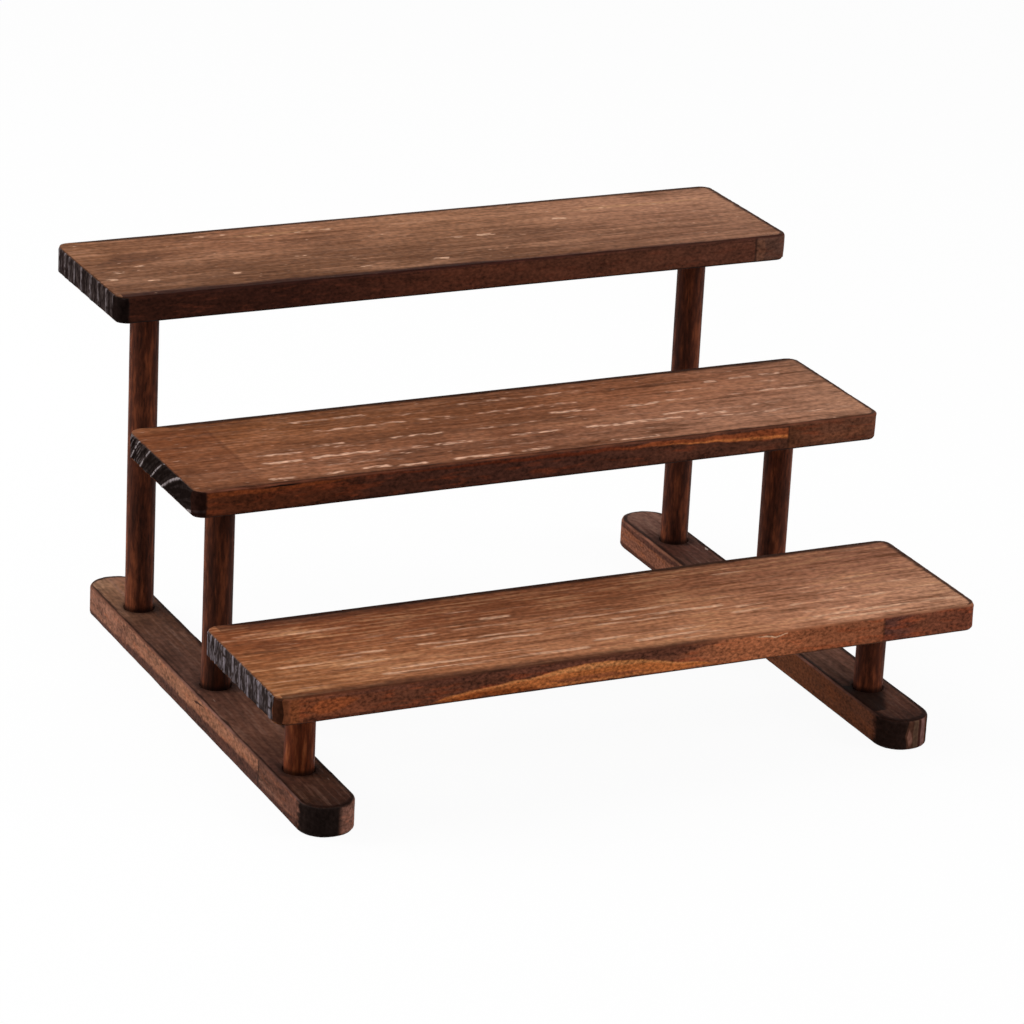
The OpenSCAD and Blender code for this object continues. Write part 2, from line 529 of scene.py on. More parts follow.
class PlankMap:
    """Where each point of a plank lies, as nodes and sockets for its finish to draw from.

    Attributes:
        tree: the material's node tree.
        shape: the plank's sizes.
        seed: offset that makes the plank's patterns its own.
        place: millimetres in the plank's own frame.
        along: the same, along the plank.
        across: across it.
        up: above its top face.
        year: the year of growth.
        share: how far through its year the point lies.
        inside: distance from the plank's outline, seen from above.
        depth: distance from the nearer of the top and the underside.
        fibre: the streaks of the grain.
    """

    def __init__(self, tree: bpy.types.NodeTree, shape: PlankShape, grain: GrainPlan) -> None:
        """Adds the nodes.

        Args:
            tree: the material's node tree.
            shape: the plank's sizes and place.
            grain: how it was sawn.
        """
        self.tree, self.shape, self.seed = tree, shape, grain.seed
        self.place = own_place(tree, shape.centre, shape.turn)
        self.along, self.across, self.up = add_node(tree, SPLIT, inputs={0: self.place}).outputs
        grown = add_node(tree, "ShaderNodeAttribute", {"attribute_name": "year"})
        self.year = grown.outputs["Fac"]
        self.share = add_node(tree, MATH, FRACTION, {0: self.year})
        self.inside = self.from_outline()
        middle = add_node(tree, MATH, ADD, {0: self.up, 1: shape.thick / 2})
        middle = add_node(tree, MATH, ABSOLUTE, {0: middle})
        self.depth = add_node(tree, MATH, SUBTRACT, {0: shape.thick / 2, 1: middle})
        self.fibre = self.draw(FIBRE)

    def draw(self, pattern: Pattern) -> bpy.types.Node:
        """Returns the noise node of a pattern that is drawn on the plank."""
        return pattern.draw(self.tree, self.place, self.seed)

    def wandering(self, pattern: Pattern, from_axis: bpy.types.NodeSocket,
                  most: float) -> bpy.types.Node:
        """Lets a place wander to and fro, so that what is laid by it has no straight edge.

        Args:
            pattern: the noise that it wanders with.
            from_axis: the place.
            most: about how far it can wander in all.

        Returns:
            The node that gives the wandering place.
        """
        bend = self.draw(pattern)
        moved = add_node(self.tree, MATH, MULTIPLY_ADD, {0: bend, 1: most, 2: from_axis})
        return add_node(self.tree, MATH, SUBTRACT, {0: moved, 1: most / 2})

    def from_outline(self) -> bpy.types.Node:
        """Measures how far inside the plank's outline each point lies, seen from above.

        Returns:
            The node that gives the distance.
        """
        tree, shape = self.tree, self.shape
        straight = (shape.length / 2 - shape.corner_r, shape.width / 2 - shape.corner_r, 0)
        flat = add_node(tree, VECTOR, MULTIPLY, {0: self.place, 1: (1, 1, 0)})
        flat = add_node(tree, VECTOR, ABSOLUTE, {0: flat})
        past = add_node(tree, VECTOR, SUBTRACT, {0: flat, 1: straight})
        round_part = add_node(tree, VECTOR, MAXIMUM, {0: past, 1: (0, 0, 0)})
        reach = add_node(tree, VECTOR, LENGTH, {0: round_part}).outputs["Value"]
        axes = add_node(tree, SPLIT, inputs={0: past})
        core = add_node(tree, MATH, MAXIMUM, {0: axes.outputs["X"], 1: axes.outputs["Y"]})
        core = add_node(tree, MATH, MINIMUM, {0: core, 1: 0.0})
        outline = add_node(tree, MATH, ADD, {0: reach, 1: core})
        return add_node(tree, MATH, SUBTRACT, {0: shape.corner_r, 1: outline})


@dataclass(frozen=True)
class Patch:
    """A stretch of wood in another tone, mostly left by the flame or the log's own figure; one on
    the right rail is a painted shadow.

    Attributes:
        outline: (place along, lower edge, upper edge) in order along the face.
        tint: its sRGB colour.
        strength: how much it covers, from 0 to 1.
        soft: width of its soft edge.
    """

    outline: tuple[Place, ...]
    tint: str
    strength: float = 1.0
    soft: float = 1.2

    def paint(
        self,
        tree: bpy.types.NodeTree,
        along: bpy.types.NodeSocket,
        across: bpy.types.Node | bpy.types.NodeSocket,
        below: bpy.types.Node,
    ) -> bpy.types.Node:
        """Lays the patch over a colour.

        Args:
            tree: the material's node tree.
            along: the place along the face.
            across: the place across the face.
            below: the node of the colour that the patch lies on.

        Returns:
            The node that gives the colour with the patch.
        """
        # The patch closes just past its two ends, where its edges meet
        tips = [
            (place + past, (lower + upper) / 2, (lower + upper) / 2)
            for (place, lower, upper), past in ((self.outline[0], -0.4), (self.outline[-1], 0.4))
        ]
        outline = [tips[0], *self.outline, tips[1]]
        start, end = outline[0][0], outline[-1][0]
        low = min(edge for _, edge, _ in outline)
        span = max(edge for _, _, edge in outline) - low
        # Red carries the patch's lower edge and green its upper one, as shares of its span
        stops = [
            ((place - start) / (end - start), ((lower - low) / span, (upper - low) / span, 0, 1))
            for place, lower, upper in outline
        ]
        run = add_node(tree, RANGE, inputs={0: along, 1: start, 2: end})
        edges = add_node(tree, "ShaderNodeSeparateColor", inputs={
            0: add_node(tree, RAMP, {"stops": stops}, {0: run}),
        })
        level = add_node(tree, RANGE, UNCLAMPED, {0: across, 1: low, 2: low + span})
        over = add_node(tree, MATH, SUBTRACT, {0: level, 1: edges.outputs["Red"]})
        under = add_node(tree, MATH, SUBTRACT, {0: edges.outputs["Green"], 1: level})
        inside = add_node(tree, MATH, MINIMUM, {0: over, 1: under})
        cover = add_node(tree, RANGE, SMOOTH, {
            0: inside, 1: 0.0, 2: self.soft / span, 3: 0.0, 4: self.strength,
        })
        return add_node(tree, MIX, COLOUR, {
            FACTOR: cover, FIRST: below, SECOND: linear(self.tint),
        })


@dataclass(frozen=True)
class BrushRow:
    """A row of bare, pale brush marks along a top face.

    Attributes:
        level: the row's place across the piece.
        spans: (start, end, how thick the marks lie) of each stretch, in order.
        half: half the row's thickness.
        fade: length over which a stretch thins out.
    """

    level: float
    spans: tuple[Place, ...]
    half: float = 1.5
    fade: float = 3.0

    def crowd(
        self,
        tree: bpy.types.NodeTree,
        along: bpy.types.NodeSocket,
        across: bpy.types.Node,
    ) -> bpy.types.Node:
        """Says how thick the marks lie.

        Args:
            tree: the material's node tree.
            along: the place along the piece.
            across: the place across the piece.

        Returns:
            The node that gives 0 for none, up to 1.
        """
        first = self.spans[0][0] - self.fade
        length = self.spans[-1][1] + self.fade - first
        stops = []
        for start, end, thick in self.spans:
            bare, full = (0, 0, 0, 1), (thick, thick, thick, 1)
            stops += [((start - self.fade - first) / length, bare),
                      ((start - first) / length, full),
                      ((end - first) / length, full),
                      ((end + self.fade - first) / length, bare)]
        run = add_node(tree, RANGE, inputs={0: along, 1: first, 2: first + length})
        thick = add_node(tree, RAMP, {"stops": stops}, {0: run})
        away = add_node(tree, MATH, SUBTRACT, {0: across, 1: self.level})
        away = add_node(tree, MATH, ABSOLUTE, {0: away})
        near = add_node(tree, RANGE, SMOOTH, {0: away, 1: self.half * 1.4, 2: self.half * 0.5})
        return add_node(tree, MATH, MULTIPLY, {0: near, 1: thick})


@dataclass(frozen=True)
class PlankLook:
    """What the flame, the brush and the stain left on one plank, with a painted shadow on the right
    rail, in sRGB colours.

    Attributes:
        top_front: brown of the top face along its front part.
        top_back: the same along its back part.
        top_dark: its scorched grain.
        top_light: its brushed, paler grain.
        fleck: bare wood in the brush marks.
        side_run: brown of the long sides along the piece.
        ember: redder brown that is speckled through the sides.
        rows: the rows of brush marks on the top.
        mark: length of one brush mark.
        stray: noise level above which marks show between the rows.
        streaky: how strong the streaks along the top are.
        streak: size of the broader streaks, along, across and up.
        glint: how bare the crispest brush marks are.
        drawn: how pale the wood between the marks of a row is.
        speckled: how strong the specks on the long sides are.
        top_patches: tones on the top face, by the place along and across.
        side_patches: tones on the long sides, by the place along and above the top face.
        end_patches: tones on the ends, by the place across and above the top face.
        char: charcoal of the sawn ends.
        ash: the hard rings on the ends.
        whole: how much of a ring stays where it is broken.
        ashen: how much grey lies between the hard rings at the front and at the back edge.
        proud: how far the hard rings stand out on the ends.
        burn: how far in the top face is scorched from its front, back, left and right edges.
        arris_run: brown of the upper arris along the piece, on its rubbed side.
        arris_side: 1 where that side is the plank's back, and -1 where it is its front.
        seam: how dark the glue lines of the finger joints are.
        char_left: how far the char reaches round from the left end.
        char_right: how far it reaches round from the right end.
        char_from: the char covers the ends from this place across.
        char_soft: width over which the char fades out.
    """

    top_front: Run
    top_back: Run
    top_dark: str
    top_light: str
    fleck: str
    side_run: Run
    ember: str
    rows: tuple[BrushRow, ...] = ()
    mark: float = 9.0
    stray: float = 0.66
    streaky: float = 0.8
    streak: Place = (70, 6, 6)
    glint: float = 0.85
    drawn: float = 0.12
    speckled: float = 1.3
    top_patches: tuple[Patch, ...] = ()
    side_patches: tuple[Patch, ...] = ()
    end_patches: tuple[Patch, ...] = ()
    char: str = "#191210"
    ash: str = "#786e70"
    whole: float = 0.35
    ashen: tuple[float, float] = (0.4, 0.4)
    proud: float = 1.0
    burn: tuple[float, float, float, float] = (2.0, 4.5, 1.2, 4.0)
    arris_run: Run = ((-200, "#5c3628"), (200, "#5c3628"))
    arris_side: float = -1.0
    seam: float = 0.4
    char_left: float = 7.0
    char_right: float = 1.0
    char_from: float = -999.0
    char_soft: float = 1.5


@dataclass(frozen=True)
class TorchedPine:
    """Pine that was torched, brushed and stained brown, for one plank.

    The flame blackens the ends, the brush takes the soft spring wood and leaves a streaked grain
    with rows of bare flecks along the rings, and the oil stain leaves a dull, faint sheen.

    Attributes:
        name: the plank's name in the names of its materials.
        shape: the plank's sizes.
        grain: how it was sawn.
        look: what the flame, the brush and the stain left on it, and any painted shadow on it.
        feet: where posts stand on it, as places along it.
        scorch: sRGB colour of the burnt rim of the top face.
        glue: the finger joints' glue lines.
        singed: arrises that were burnt and not rubbed.
        soaked_and_shade: colour of the stain that gathered round the posts, which also paints their
            shade on the plank.
        cinder: char between bare charcoal and ash.
    """

    name: str
    shape: PlankShape
    grain: GrainPlan
    look: PlankLook
    feet: tuple[float, ...] = ()
    scorch: str = "#26130d"
    glue: str = "#241410"
    singed: str = "#1d110d"
    soaked_and_shade: str = "#22120d"
    cinder: str = "#3f3533"

    def dress(self, piece: bpy.types.Object) -> None:
        """Gives the piece its brown wood, and matt char on its burnt ends.

        Args:
            piece: the finished plank.
        """
        piece.data.materials.clear()
        piece.data.materials.append(self.make(f"torched_pine_{self.name}", charred=False))
        piece.data.materials.append(self.make(f"charred_pine_{self.name}", charred=True))
        home = self.shape.placing().inverted()
        turn = Matrix.Rotation(-self.shape.turn, 3, "Z")
        for face in piece.data.polygons:
            face.material_index = int(self.is_char(home @ face.center, turn @ face.normal))

    def is_char(self, spot: Vector, normal: Vector) -> bool:
        """Tells whether a face lies wholly in the char of a sawn end.

        Args:
            spot: the face's middle in the plank's frame.
            normal: its direction in that frame.

        Returns:
            True for a charred face.
        """
        left = spot.x < self.look.char_left - 1 - self.shape.length / 2
        right = self.look.char_right > 0 and normal.x > 0.9
        return abs(normal.z) < 0.5 and spot.y > self.look.char_from + 1 and (left or right)

    def make(self, name: str, charred: bool) -> bpy.types.Material:
        """Makes the material.

        Args:
            name: the material's name.
            charred: whether it is for the charred ends, which are matt and drink the light.

        Returns:
            The material.
        """
        material = new_material(name)
        tree = material.node_tree
        wood = PlankMap(tree, self.shape, self.grain)
        # Above 0 the sides are nearer than the top and the underside, and below 0 those are
        down = add_node(tree, MATH, SUBTRACT, {0: wood.depth, 1: wood.inside})
        upright = add_node(tree, RANGE, SMOOTH, {0: down, 1: -0.7, 2: 0.2})
        body = add_node(tree, MIX, COLOUR, {
            FACTOR: upright, FIRST: self.top_colour(wood), SECOND: self.side_colour(wood),
        })
        body = self.arris_colour(wood, body)
        ridge = self.ridge(wood)
        sheer = add_node(tree, RANGE, SMOOTH, {0: down, 1: -0.35, 2: 0.35})
        burnt = add_node(tree, MATH, MULTIPLY, {0: sheer, 1: self.char_reach(wood)})
        body = add_node(tree, MIX, COLOUR, {
            FACTOR: burnt, FIRST: body, SECOND: self.end_colour(wood, ridge),
        })
        proud = add_node(tree, MATH, MULTIPLY, {0: ridge, 1: burnt})
        height = add_node(tree, MATH, MULTIPLY_ADD, {0: proud, 1: 1.5, 2: wood.fibre})
        bump = add_node(tree, "ShaderNodeBump", inputs={
            "Height": height, "Strength": 0.5, "Distance": 0.3 * MM,
        })
        dull, rubbed = (1.0, 0.9) if charred else (0.8, 0.6)
        rough = add_node(tree, RANGE, inputs={0: wood.fibre, 1: 0.3, 2: 0.7, 3: dull, 4: rubbed})
        surface = add_node(tree, PRINCIPLED, inputs={
            "Base Color": body, "Roughness": rough, "Normal": bump,
            "Specular IOR Level": 0.0 if charred else 0.04, "IOR": 1.5,
        })
        add_node(tree, OUTPUT, inputs={"Surface": surface})
        return material

    def top_colour(self, wood: PlankMap) -> bpy.types.Node:
        """Colours the brushed top face.

        Args:
            wood: where each point lies on the plank.

        Returns:
            The node that gives the colour.
        """
        tree, look = wood.tree, self.look
        tint = self.streaked(wood)
        across = wood.wandering(TOP_WANDER, wood.across, 5.0)
        for patch in look.top_patches:
            tint = patch.paint(tree, wood.along, across, tint)
        marks = wood.draw(Pattern((look.mark, 2.2, 2.2), 3, 1))
        crowd = add_node(tree, RANGE, SMOOTH, {0: wood.share, 1: 0.6, 2: 1.0, 3: 0.0, 4: 0.15})
        for row in look.rows:
            thick = row.crowd(tree, wood.along, across)
            crowd = add_node(tree, MATH, MAXIMUM, {0: crowd, 1: thick})
        gathered = add_node(tree, MATH, MULTIPLY_ADD, {0: crowd, 1: 0.34, 2: marks})
        bare = add_node(tree, RANGE, SMOOTH, {
            0: gathered, 1: look.stray - 0.02, 2: look.stray + 0.14, 3: 0.0, 4: look.glint,
        })
        drawn = add_node(tree, RANGE, inputs={0: marks, 1: 0.3, 2: 0.7, 3: 0.0, 4: 2 * look.drawn})
        bare = add_node(tree, MATH, MULTIPLY_ADD, {0: crowd, 1: drawn, 2: bare})
        tint = add_node(tree, MIX, COLOUR, {FACTOR: bare, FIRST: tint, SECOND: linear(look.fleck)})
        tint = add_node(tree, MIX, COLOUR, {
            FACTOR: self.burnt_rim(wood), FIRST: tint, SECOND: linear(self.scorch),
        })
        shade = add_node(tree, RANGE, inputs={
            0: wood.draw(TOP_MOTTLE), 1: 0.25, 2: 0.75, 3: 0.68, 4: 1.32,
        })
        return add_node(tree, MIX, SHADE, {FACTOR: 1.0, FIRST: tint, SECOND: shade})

    def streaked(self, wood: PlankMap) -> bpy.types.Node:
        """Colours the top's plain grain, from its scorched streaks to its brushed ones.

        Args:
            wood: where each point lies on the plank.

        Returns:
            The node that gives the colour.
        """
        tree, look, width = wood.tree, self.look, self.shape.width
        streak = wood.draw(Pattern(look.streak, 5, 3))
        # The streaks and the cloud each vary about a half, and together they do so too
        tone = add_node(tree, MATH, MULTIPLY_ADD, {
            0: wood.fibre, 1: look.streaky, 2: 0.25 - 0.8 * look.streaky,
        })
        tone = add_node(tree, MATH, MULTIPLY_ADD, {0: streak, 1: 0.6 * look.streaky, 2: tone})
        tone = add_node(tree, MATH, MULTIPLY_ADD, {0: wood.draw(CLOUD), 1: 0.5, 2: tone})
        late = add_node(tree, RANGE, SMOOTH, {0: wood.share, 1: 0.4, 2: 1.0, 3: 0.0, 4: -0.08})
        tone = add_node(tree, MATH, ADD, {0: tone, 1: late})
        back = add_node(tree, RANGE, SMOOTH, {0: wood.across, 1: -0.3 * width, 2: 0.3 * width})
        tint = add_node(tree, MIX, COLOUR, {
            FACTOR: back, FIRST: tone_run(tree, wood.along, look.top_front),
            SECOND: tone_run(tree, wood.along, look.top_back),
        })
        for edge, colour in ((0.8, look.top_light), (0.2, look.top_dark)):
            far = add_node(tree, RANGE, inputs={0: tone, 1: 0.5, 2: edge, 3: 0.0, 4: 1.0})
            tint = add_node(tree, MIX, COLOUR, {FACTOR: far, FIRST: tint, SECOND: linear(colour)})
        return tint

    def burnt_rim(self, wood: PlankMap) -> bpy.types.Node:
        """Says how far the top face is scorched from its edges.

        Args:
            wood: where each point lies on the plank.

        Returns:
            The node that gives the scorch, from 0 up.
        """
        tree, half = wood.tree, self.shape.length / 2
        front, back, left, right = self.look.burn
        near = wood.wandering(RAGGED_BURN, wood.inside, 2.4)
        reach = add_node(tree, RANGE, SMOOTH, {
            0: wood.across, 1: -10.0, 2: 10.0, 3: front, 4: back,
        })
        reach = add_node(tree, RANGE, inputs={
            0: wood.along, 1: 3 - half, 2: 24 - half, 3: left, 4: reach,
        })
        reach = add_node(tree, RANGE, inputs={
            0: wood.along, 1: half - 8, 2: half - 3, 3: reach, 4: right,
        })
        full = add_node(tree, MATH, MULTIPLY, {0: reach, 1: 0.55})
        return add_node(tree, RANGE, SMOOTH, {0: near, 1: reach, 2: full, 3: 0.0, 4: 0.9})

    def side_colour(self, wood: PlankMap) -> bpy.types.Node:
        """Colours the long sides, with the figure of the wood and its finger joints.

        Args:
            wood: where each point lies on the plank.

        Returns:
            The node that gives the colour.
        """
        tree, look = wood.tree, self.look
        tone = add_node(tree, MATH, MULTIPLY_ADD, {
            0: wood.draw(SPECK), 1: look.speckled, 2: 0.5 - 0.5 * look.speckled,
        })
        tone = add_node(tree, MATH, MULTIPLY_ADD, {0: wood.draw(SIDE_CLOUD), 1: 1.0, 2: tone})
        tone = add_node(tree, MATH, MAXIMUM, {0: tone, 1: 0.3})
        red = add_node(tree, RANGE, SMOOTH, {0: wood.draw(GLOW), 1: 0.5, 2: 0.7, 3: 0.0, 4: 0.4})
        tint = add_node(tree, MIX, COLOUR, {
            FACTOR: red, FIRST: tone_run(tree, wood.along, look.side_run),
            SECOND: linear(look.ember),
        })
        up = wood.wandering(SIDE_WANDER, wood.up, 3.0)
        for patch in look.side_patches:
            tint = patch.paint(tree, wood.along, up, tint)
        for seam in self.grain.seams:
            away = add_node(tree, MATH, SUBTRACT, {0: wood.along, 1: seam})
            away = add_node(tree, MATH, ABSOLUTE, {0: away})
            line = add_node(tree, RANGE, SMOOTH, {0: away, 1: 1.1, 2: 0.3, 3: 0.0, 4: look.seam})
            tint = add_node(tree, MIX, COLOUR, {
                FACTOR: line, FIRST: tint, SECOND: linear(self.glue),
            })
        return add_node(tree, MIX, SHADE, {FACTOR: 1.0, FIRST: tint, SECOND: tone})

    def ridge(self, wood: PlankMap) -> bpy.types.Node:
        """Finds the hard rings that stand proud, broken here and there.

        Args:
            wood: where each point lies on the plank.

        Returns:
            The node that gives 1 on a ring and 0 between rings.
        """
        tree, summer = wood.tree, self.grain.summer
        rise = add_node(tree, RANGE, SMOOTH, {0: wood.share, 1: 1 - summer, 2: 1 - summer / 2})
        fall = add_node(tree, RANGE, SMOOTH, {0: wood.share, 1: 1.0, 2: 0.94})
        whole = add_node(tree, RANGE, SMOOTH, {
            0: wood.draw(BROKEN_RING), 1: 0.34, 2: 0.56, 3: self.look.whole, 4: 1.0,
        })
        ring = add_node(tree, MATH, MULTIPLY, {0: rise, 1: fall})
        ring = add_node(tree, MATH, MULTIPLY, {0: ring, 1: self.look.proud})
        return add_node(tree, MATH, MULTIPLY, {0: ring, 1: whole})

    def end_colour(self, wood: PlankMap, ridge: bpy.types.Node) -> bpy.types.Node:
        """Colours the charred ends, where the hard rings stand out ashen.

        Args:
            wood: where each point lies on the plank.
            ridge: the hard rings.

        Returns:
            The node that gives the colour.
        """
        tree, look, edge = wood.tree, self.look, self.shape.width / 2
        # Fine grey lines run with the rings, eight to a year
        turns = add_node(tree, MATH, MULTIPLY, {0: wood.year, 1: 8.0})
        down = add_node(tree, MATH, MULTIPLY, {0: wood.up, 1: 0.12})
        lines = add_node(tree, NOISE, inputs={
            "Vector": add_node(tree, "ShaderNodeCombineXYZ", inputs={
                0: turns, 1: down, 2: wood.seed,
            }),
            "Scale": 1.0, "Detail": 2.0, "Roughness": 0.6,
        })
        amount = add_node(tree, RANGE, SMOOTH, {
            0: wood.across, 1: 0.3 * edge, 2: 0.75 * edge, 3: look.ashen[0], 4: look.ashen[1],
        })
        fine = add_node(tree, RANGE, SMOOTH, {0: lines, 1: 0.43, 2: 0.62})
        fine = add_node(tree, MATH, MULTIPLY, {0: fine, 1: amount})
        ashen = add_node(tree, MATH, MAXIMUM, {0: ridge, 1: fine})
        clear = add_node(tree, RANGE, SMOOTH, {
            0: wood.draw(CLEAN_BLOT), 1: 0.66, 2: 0.56, 3: 0.4, 4: 1.0,
        })
        ashen = add_node(tree, MATH, MULTIPLY, {0: ashen, 1: clear})
        tint = add_node(tree, RAMP, {"stops": [
            (0.0, linear(look.char)), (0.4, linear(self.cinder)), (1.0, linear(look.ash)),
        ]}, {0: ashen})
        for patch in look.end_patches:
            tint = patch.paint(tree, wood.across, wood.up, tint)
        shade = add_node(tree, RANGE, inputs={
            0: wood.draw(END_MOTTLE), 1: 0.25, 2: 0.75, 3: 0.6, 4: 1.4,
        })
        return add_node(tree, MIX, SHADE, {FACTOR: 1.0, FIRST: tint, SECOND: shade})

    def char_reach(self, wood: PlankMap) -> bpy.types.Node:
        """Says where the char of the two sawn ends lies.

        Args:
            wood: where each point lies on the plank.

        Returns:
            The node that gives 1 on the char and 0 off it.
        """
        tree, look, half = wood.tree, self.look, self.shape.length / 2
        along = wood.wandering(RAGGED_CHAR, wood.along, 0.5 + look.char_soft)
        left = add_node(tree, RANGE, SMOOTH, {
            0: along, 1: look.char_left - half, 2: look.char_left - half - look.char_soft,
        })
        right = add_node(tree, RANGE, SMOOTH, {
            0: wood.along, 1: half - look.char_right, 2: half - look.char_right + 0.5,
        })
        covered = add_node(tree, RANGE, SMOOTH, {
            0: wood.across, 1: look.char_from - 0.3 * look.char_soft,
            2: look.char_from + 0.3 * look.char_soft,
        })
        both = add_node(tree, MATH, MAXIMUM, {0: left, 1: right})
        return add_node(tree, MATH, MULTIPLY, {0: both, 1: covered})

    def arris_colour(self, wood: PlankMap, body: bpy.types.Node) -> bpy.types.Node:
        """Burns the arrises, rubs the upper ones on one side and paints stain and shade round the
        posts.

        Args:
            wood: where each point lies on the plank.
            body: the colour of the faces.

        Returns:
            The node that gives the colour.
        """
        tree, shape, look = wood.tree, self.shape, self.look
        middle, left = -shape.thick / 2, -shape.length / 2
        near = add_node(tree, MATH, MAXIMUM, {0: wood.inside, 1: wood.depth})
        upper = add_node(tree, RANGE, inputs={0: wood.up, 1: middle - 1, 2: middle + 1})
        side = add_node(tree, MATH, MULTIPLY, {0: wood.across, 1: look.arris_side})
        side = add_node(tree, RANGE, inputs={0: side, 1: 0.0, 2: 10.0})
        end = add_node(tree, RANGE, inputs={0: wood.along, 1: 7 + left, 2: 3 + left})
        either = add_node(tree, MATH, MAXIMUM, {0: side, 1: end})
        rubbed = add_node(tree, MATH, MULTIPLY, {0: upper, 1: either})
        blotch = add_node(tree, RANGE, inputs={
            0: wood.draw(RUBBED_BLOTCH), 1: 0.3, 2: 0.7, 3: 0.55, 4: 1.45,
        })
        bare = add_node(tree, MIX, SHADE, {
            FACTOR: 1.0, FIRST: tone_run(tree, wood.along, look.arris_run), SECOND: blotch,
        })
        tint = add_node(tree, MIX, COLOUR, {
            FACTOR: rubbed, FIRST: linear(self.singed), SECOND: bare,
        })
        near = add_node(tree, MATH, MULTIPLY_ADD, {0: wood.draw(RAGGED_RIM), 1: 0.8, 2: near})
        rim = add_node(tree, RANGE, SMOOTH, {0: near, 1: 1.9, 2: 1.0, 3: 0.0, 4: 0.88})
        body = add_node(tree, MIX, COLOUR, {FACTOR: rim, FIRST: body, SECOND: tint})
        # Round each post's foot the top is darkened by stain and by painted shade
        for foot in self.feet:
            away = add_node(tree, VECTOR, DISTANCE, {0: wood.place, 1: (foot, 0, 0)})
            stain = add_node(tree, RANGE, SMOOTH, {
                0: away.outputs["Value"], 1: 14.0, 2: 8.0, 3: 0.0, 4: 0.65,
            })
            body = add_node(tree, MIX, COLOUR, {
                FACTOR: stain, FIRST: body, SECOND: linear(self.soaked_and_shade),
            })
        return body


class Plank:
    """What a shelf board and a base rail share: a weathered block that is drilled for its posts.

    Attributes:
        node: the plank's node in the frame.
        grain: how it was sawn.
        wear: how deep it is worn.
        corner_r: radius of the upright corners.
        arris_r: radius of the eased arrises.
        turn: turn of its grain from the riser's long side, in radians.
    """

    node: str
    grain: GrainPlan
    wear: Wear
    corner_r: float
    arris_r: float
    turn = 0.0

    def bore(self, shape: PlankShape, low: Vector, high: Vector) -> list[tuple[float, float]]:
        """Draws the hole that takes a post and its screw; each kind of plank has its own.

        Args:
            shape: the plank's sizes.
            low: low corner of the post.
            high: its high corner.

        Returns:
            (radius, height above the plank's underside) points, from axis to axis.
        """
        raise NotImplementedError

    def shape(self) -> PlankShape:
        """Works out the plank's sizes from the frame."""
        low, high = node_box(self.node)
        sides = (high.x - low.x, high.y - low.y)
        length, width = reversed(sides) if self.turn else sides
        return PlankShape(
            centre=((low.x + high.x) / 2, (low.y + high.y) / 2, high.z), turn=self.turn,
            length=length, width=width, thick=high.z - low.z,
            corner_r=self.corner_r, arris_r=self.arris_r,
        )

    def drilled(self, name: str, shape: PlankShape,
                posts: list[str]) -> tuple[bpy.types.Object, list[Place]]:
        """Models the plank and bores it for its posts.

        Args:
            name: the piece's name.
            shape: its sizes.
            posts: the nodes of the posts.

        Returns:
            The piece, and where the posts' axes meet its underside.
        """
        bm = shape.block()
        self.wear.weather(bm, self.grain)
        bmesh.ops.transform(bm, matrix=shape.placing(), verts=bm.verts)
        piece = new_piece(name, bm)
        boxes = [node_box(post) for post in posts]
        under = shape.centre[2] - shape.thick
        spots = [((low.x + high.x) / 2, (low.y + high.y) / 2, under) for low, high in boxes]
        carve(piece, self.bore(shape, *boxes[-1]), spots)
        smooth_faces(piece)
        return piece, spots


@dataclass
class ShelfBoard(Plank):
    """One shelf board on its two posts.

    Attributes:
        tier: its level.
        grain: how it was sawn.
        look: what the flame, the brush and the stain left on it.
        corner_r: radius of the upright corners.
        arris_r: radius of the eased arrises.
        socket_gap: room round a post's head.
        socket_deep: how deep a post's head stands in the board.
        bore_r: radius of the bore for the shelf screw.
        bore_deep: how far the bore reaches up from the underside.
        wear: how deep the board is worn.
    """

    tier: Tier
    grain: GrainPlan
    look: PlankLook
    corner_r: float = 7.0
    arris_r: float = 1.5
    socket_gap: float = 0.1
    socket_deep: float = 4.0
    bore_r: float = 2.55
    bore_deep: float = 13.0
    wear: Wear = Wear()

    @property
    def node(self) -> str:
        """Returns the name of the board's node in the frame."""
        return f"shelf_{self.tier.value}"

    def bore(self, shape: PlankShape, low: Vector, high: Vector) -> list[tuple[float, float]]:
        """Draws the blind socket of a post's head and the bore above it.

        Args:
            shape: the board's sizes.
            low: low corner of the post.
            high: its high corner.

        Returns:
            (radius, height above the board's underside) points, from axis to axis.
        """
        socket_r = (high.x - low.x) / 2 + self.socket_gap
        return [(0, -1), (socket_r, -1), (socket_r, self.socket_deep),
                (self.bore_r, self.socket_deep), (self.bore_r, self.bore_deep),
                (0, self.bore_deep)]

    def build(self) -> bpy.types.Object:
        """Makes and dresses the board, and puts it in its node's place."""
        shape = self.shape()
        posts = [f"post_{self.tier.value}_{side.value}" for side in Side]
        piece, _ = self.drilled(f"board_{self.tier.value}", shape, posts)
        TorchedPine(self.tier.value, shape, self.grain, self.look).dress(piece)
        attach(piece, "root")
        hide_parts(self.node)
        return piece


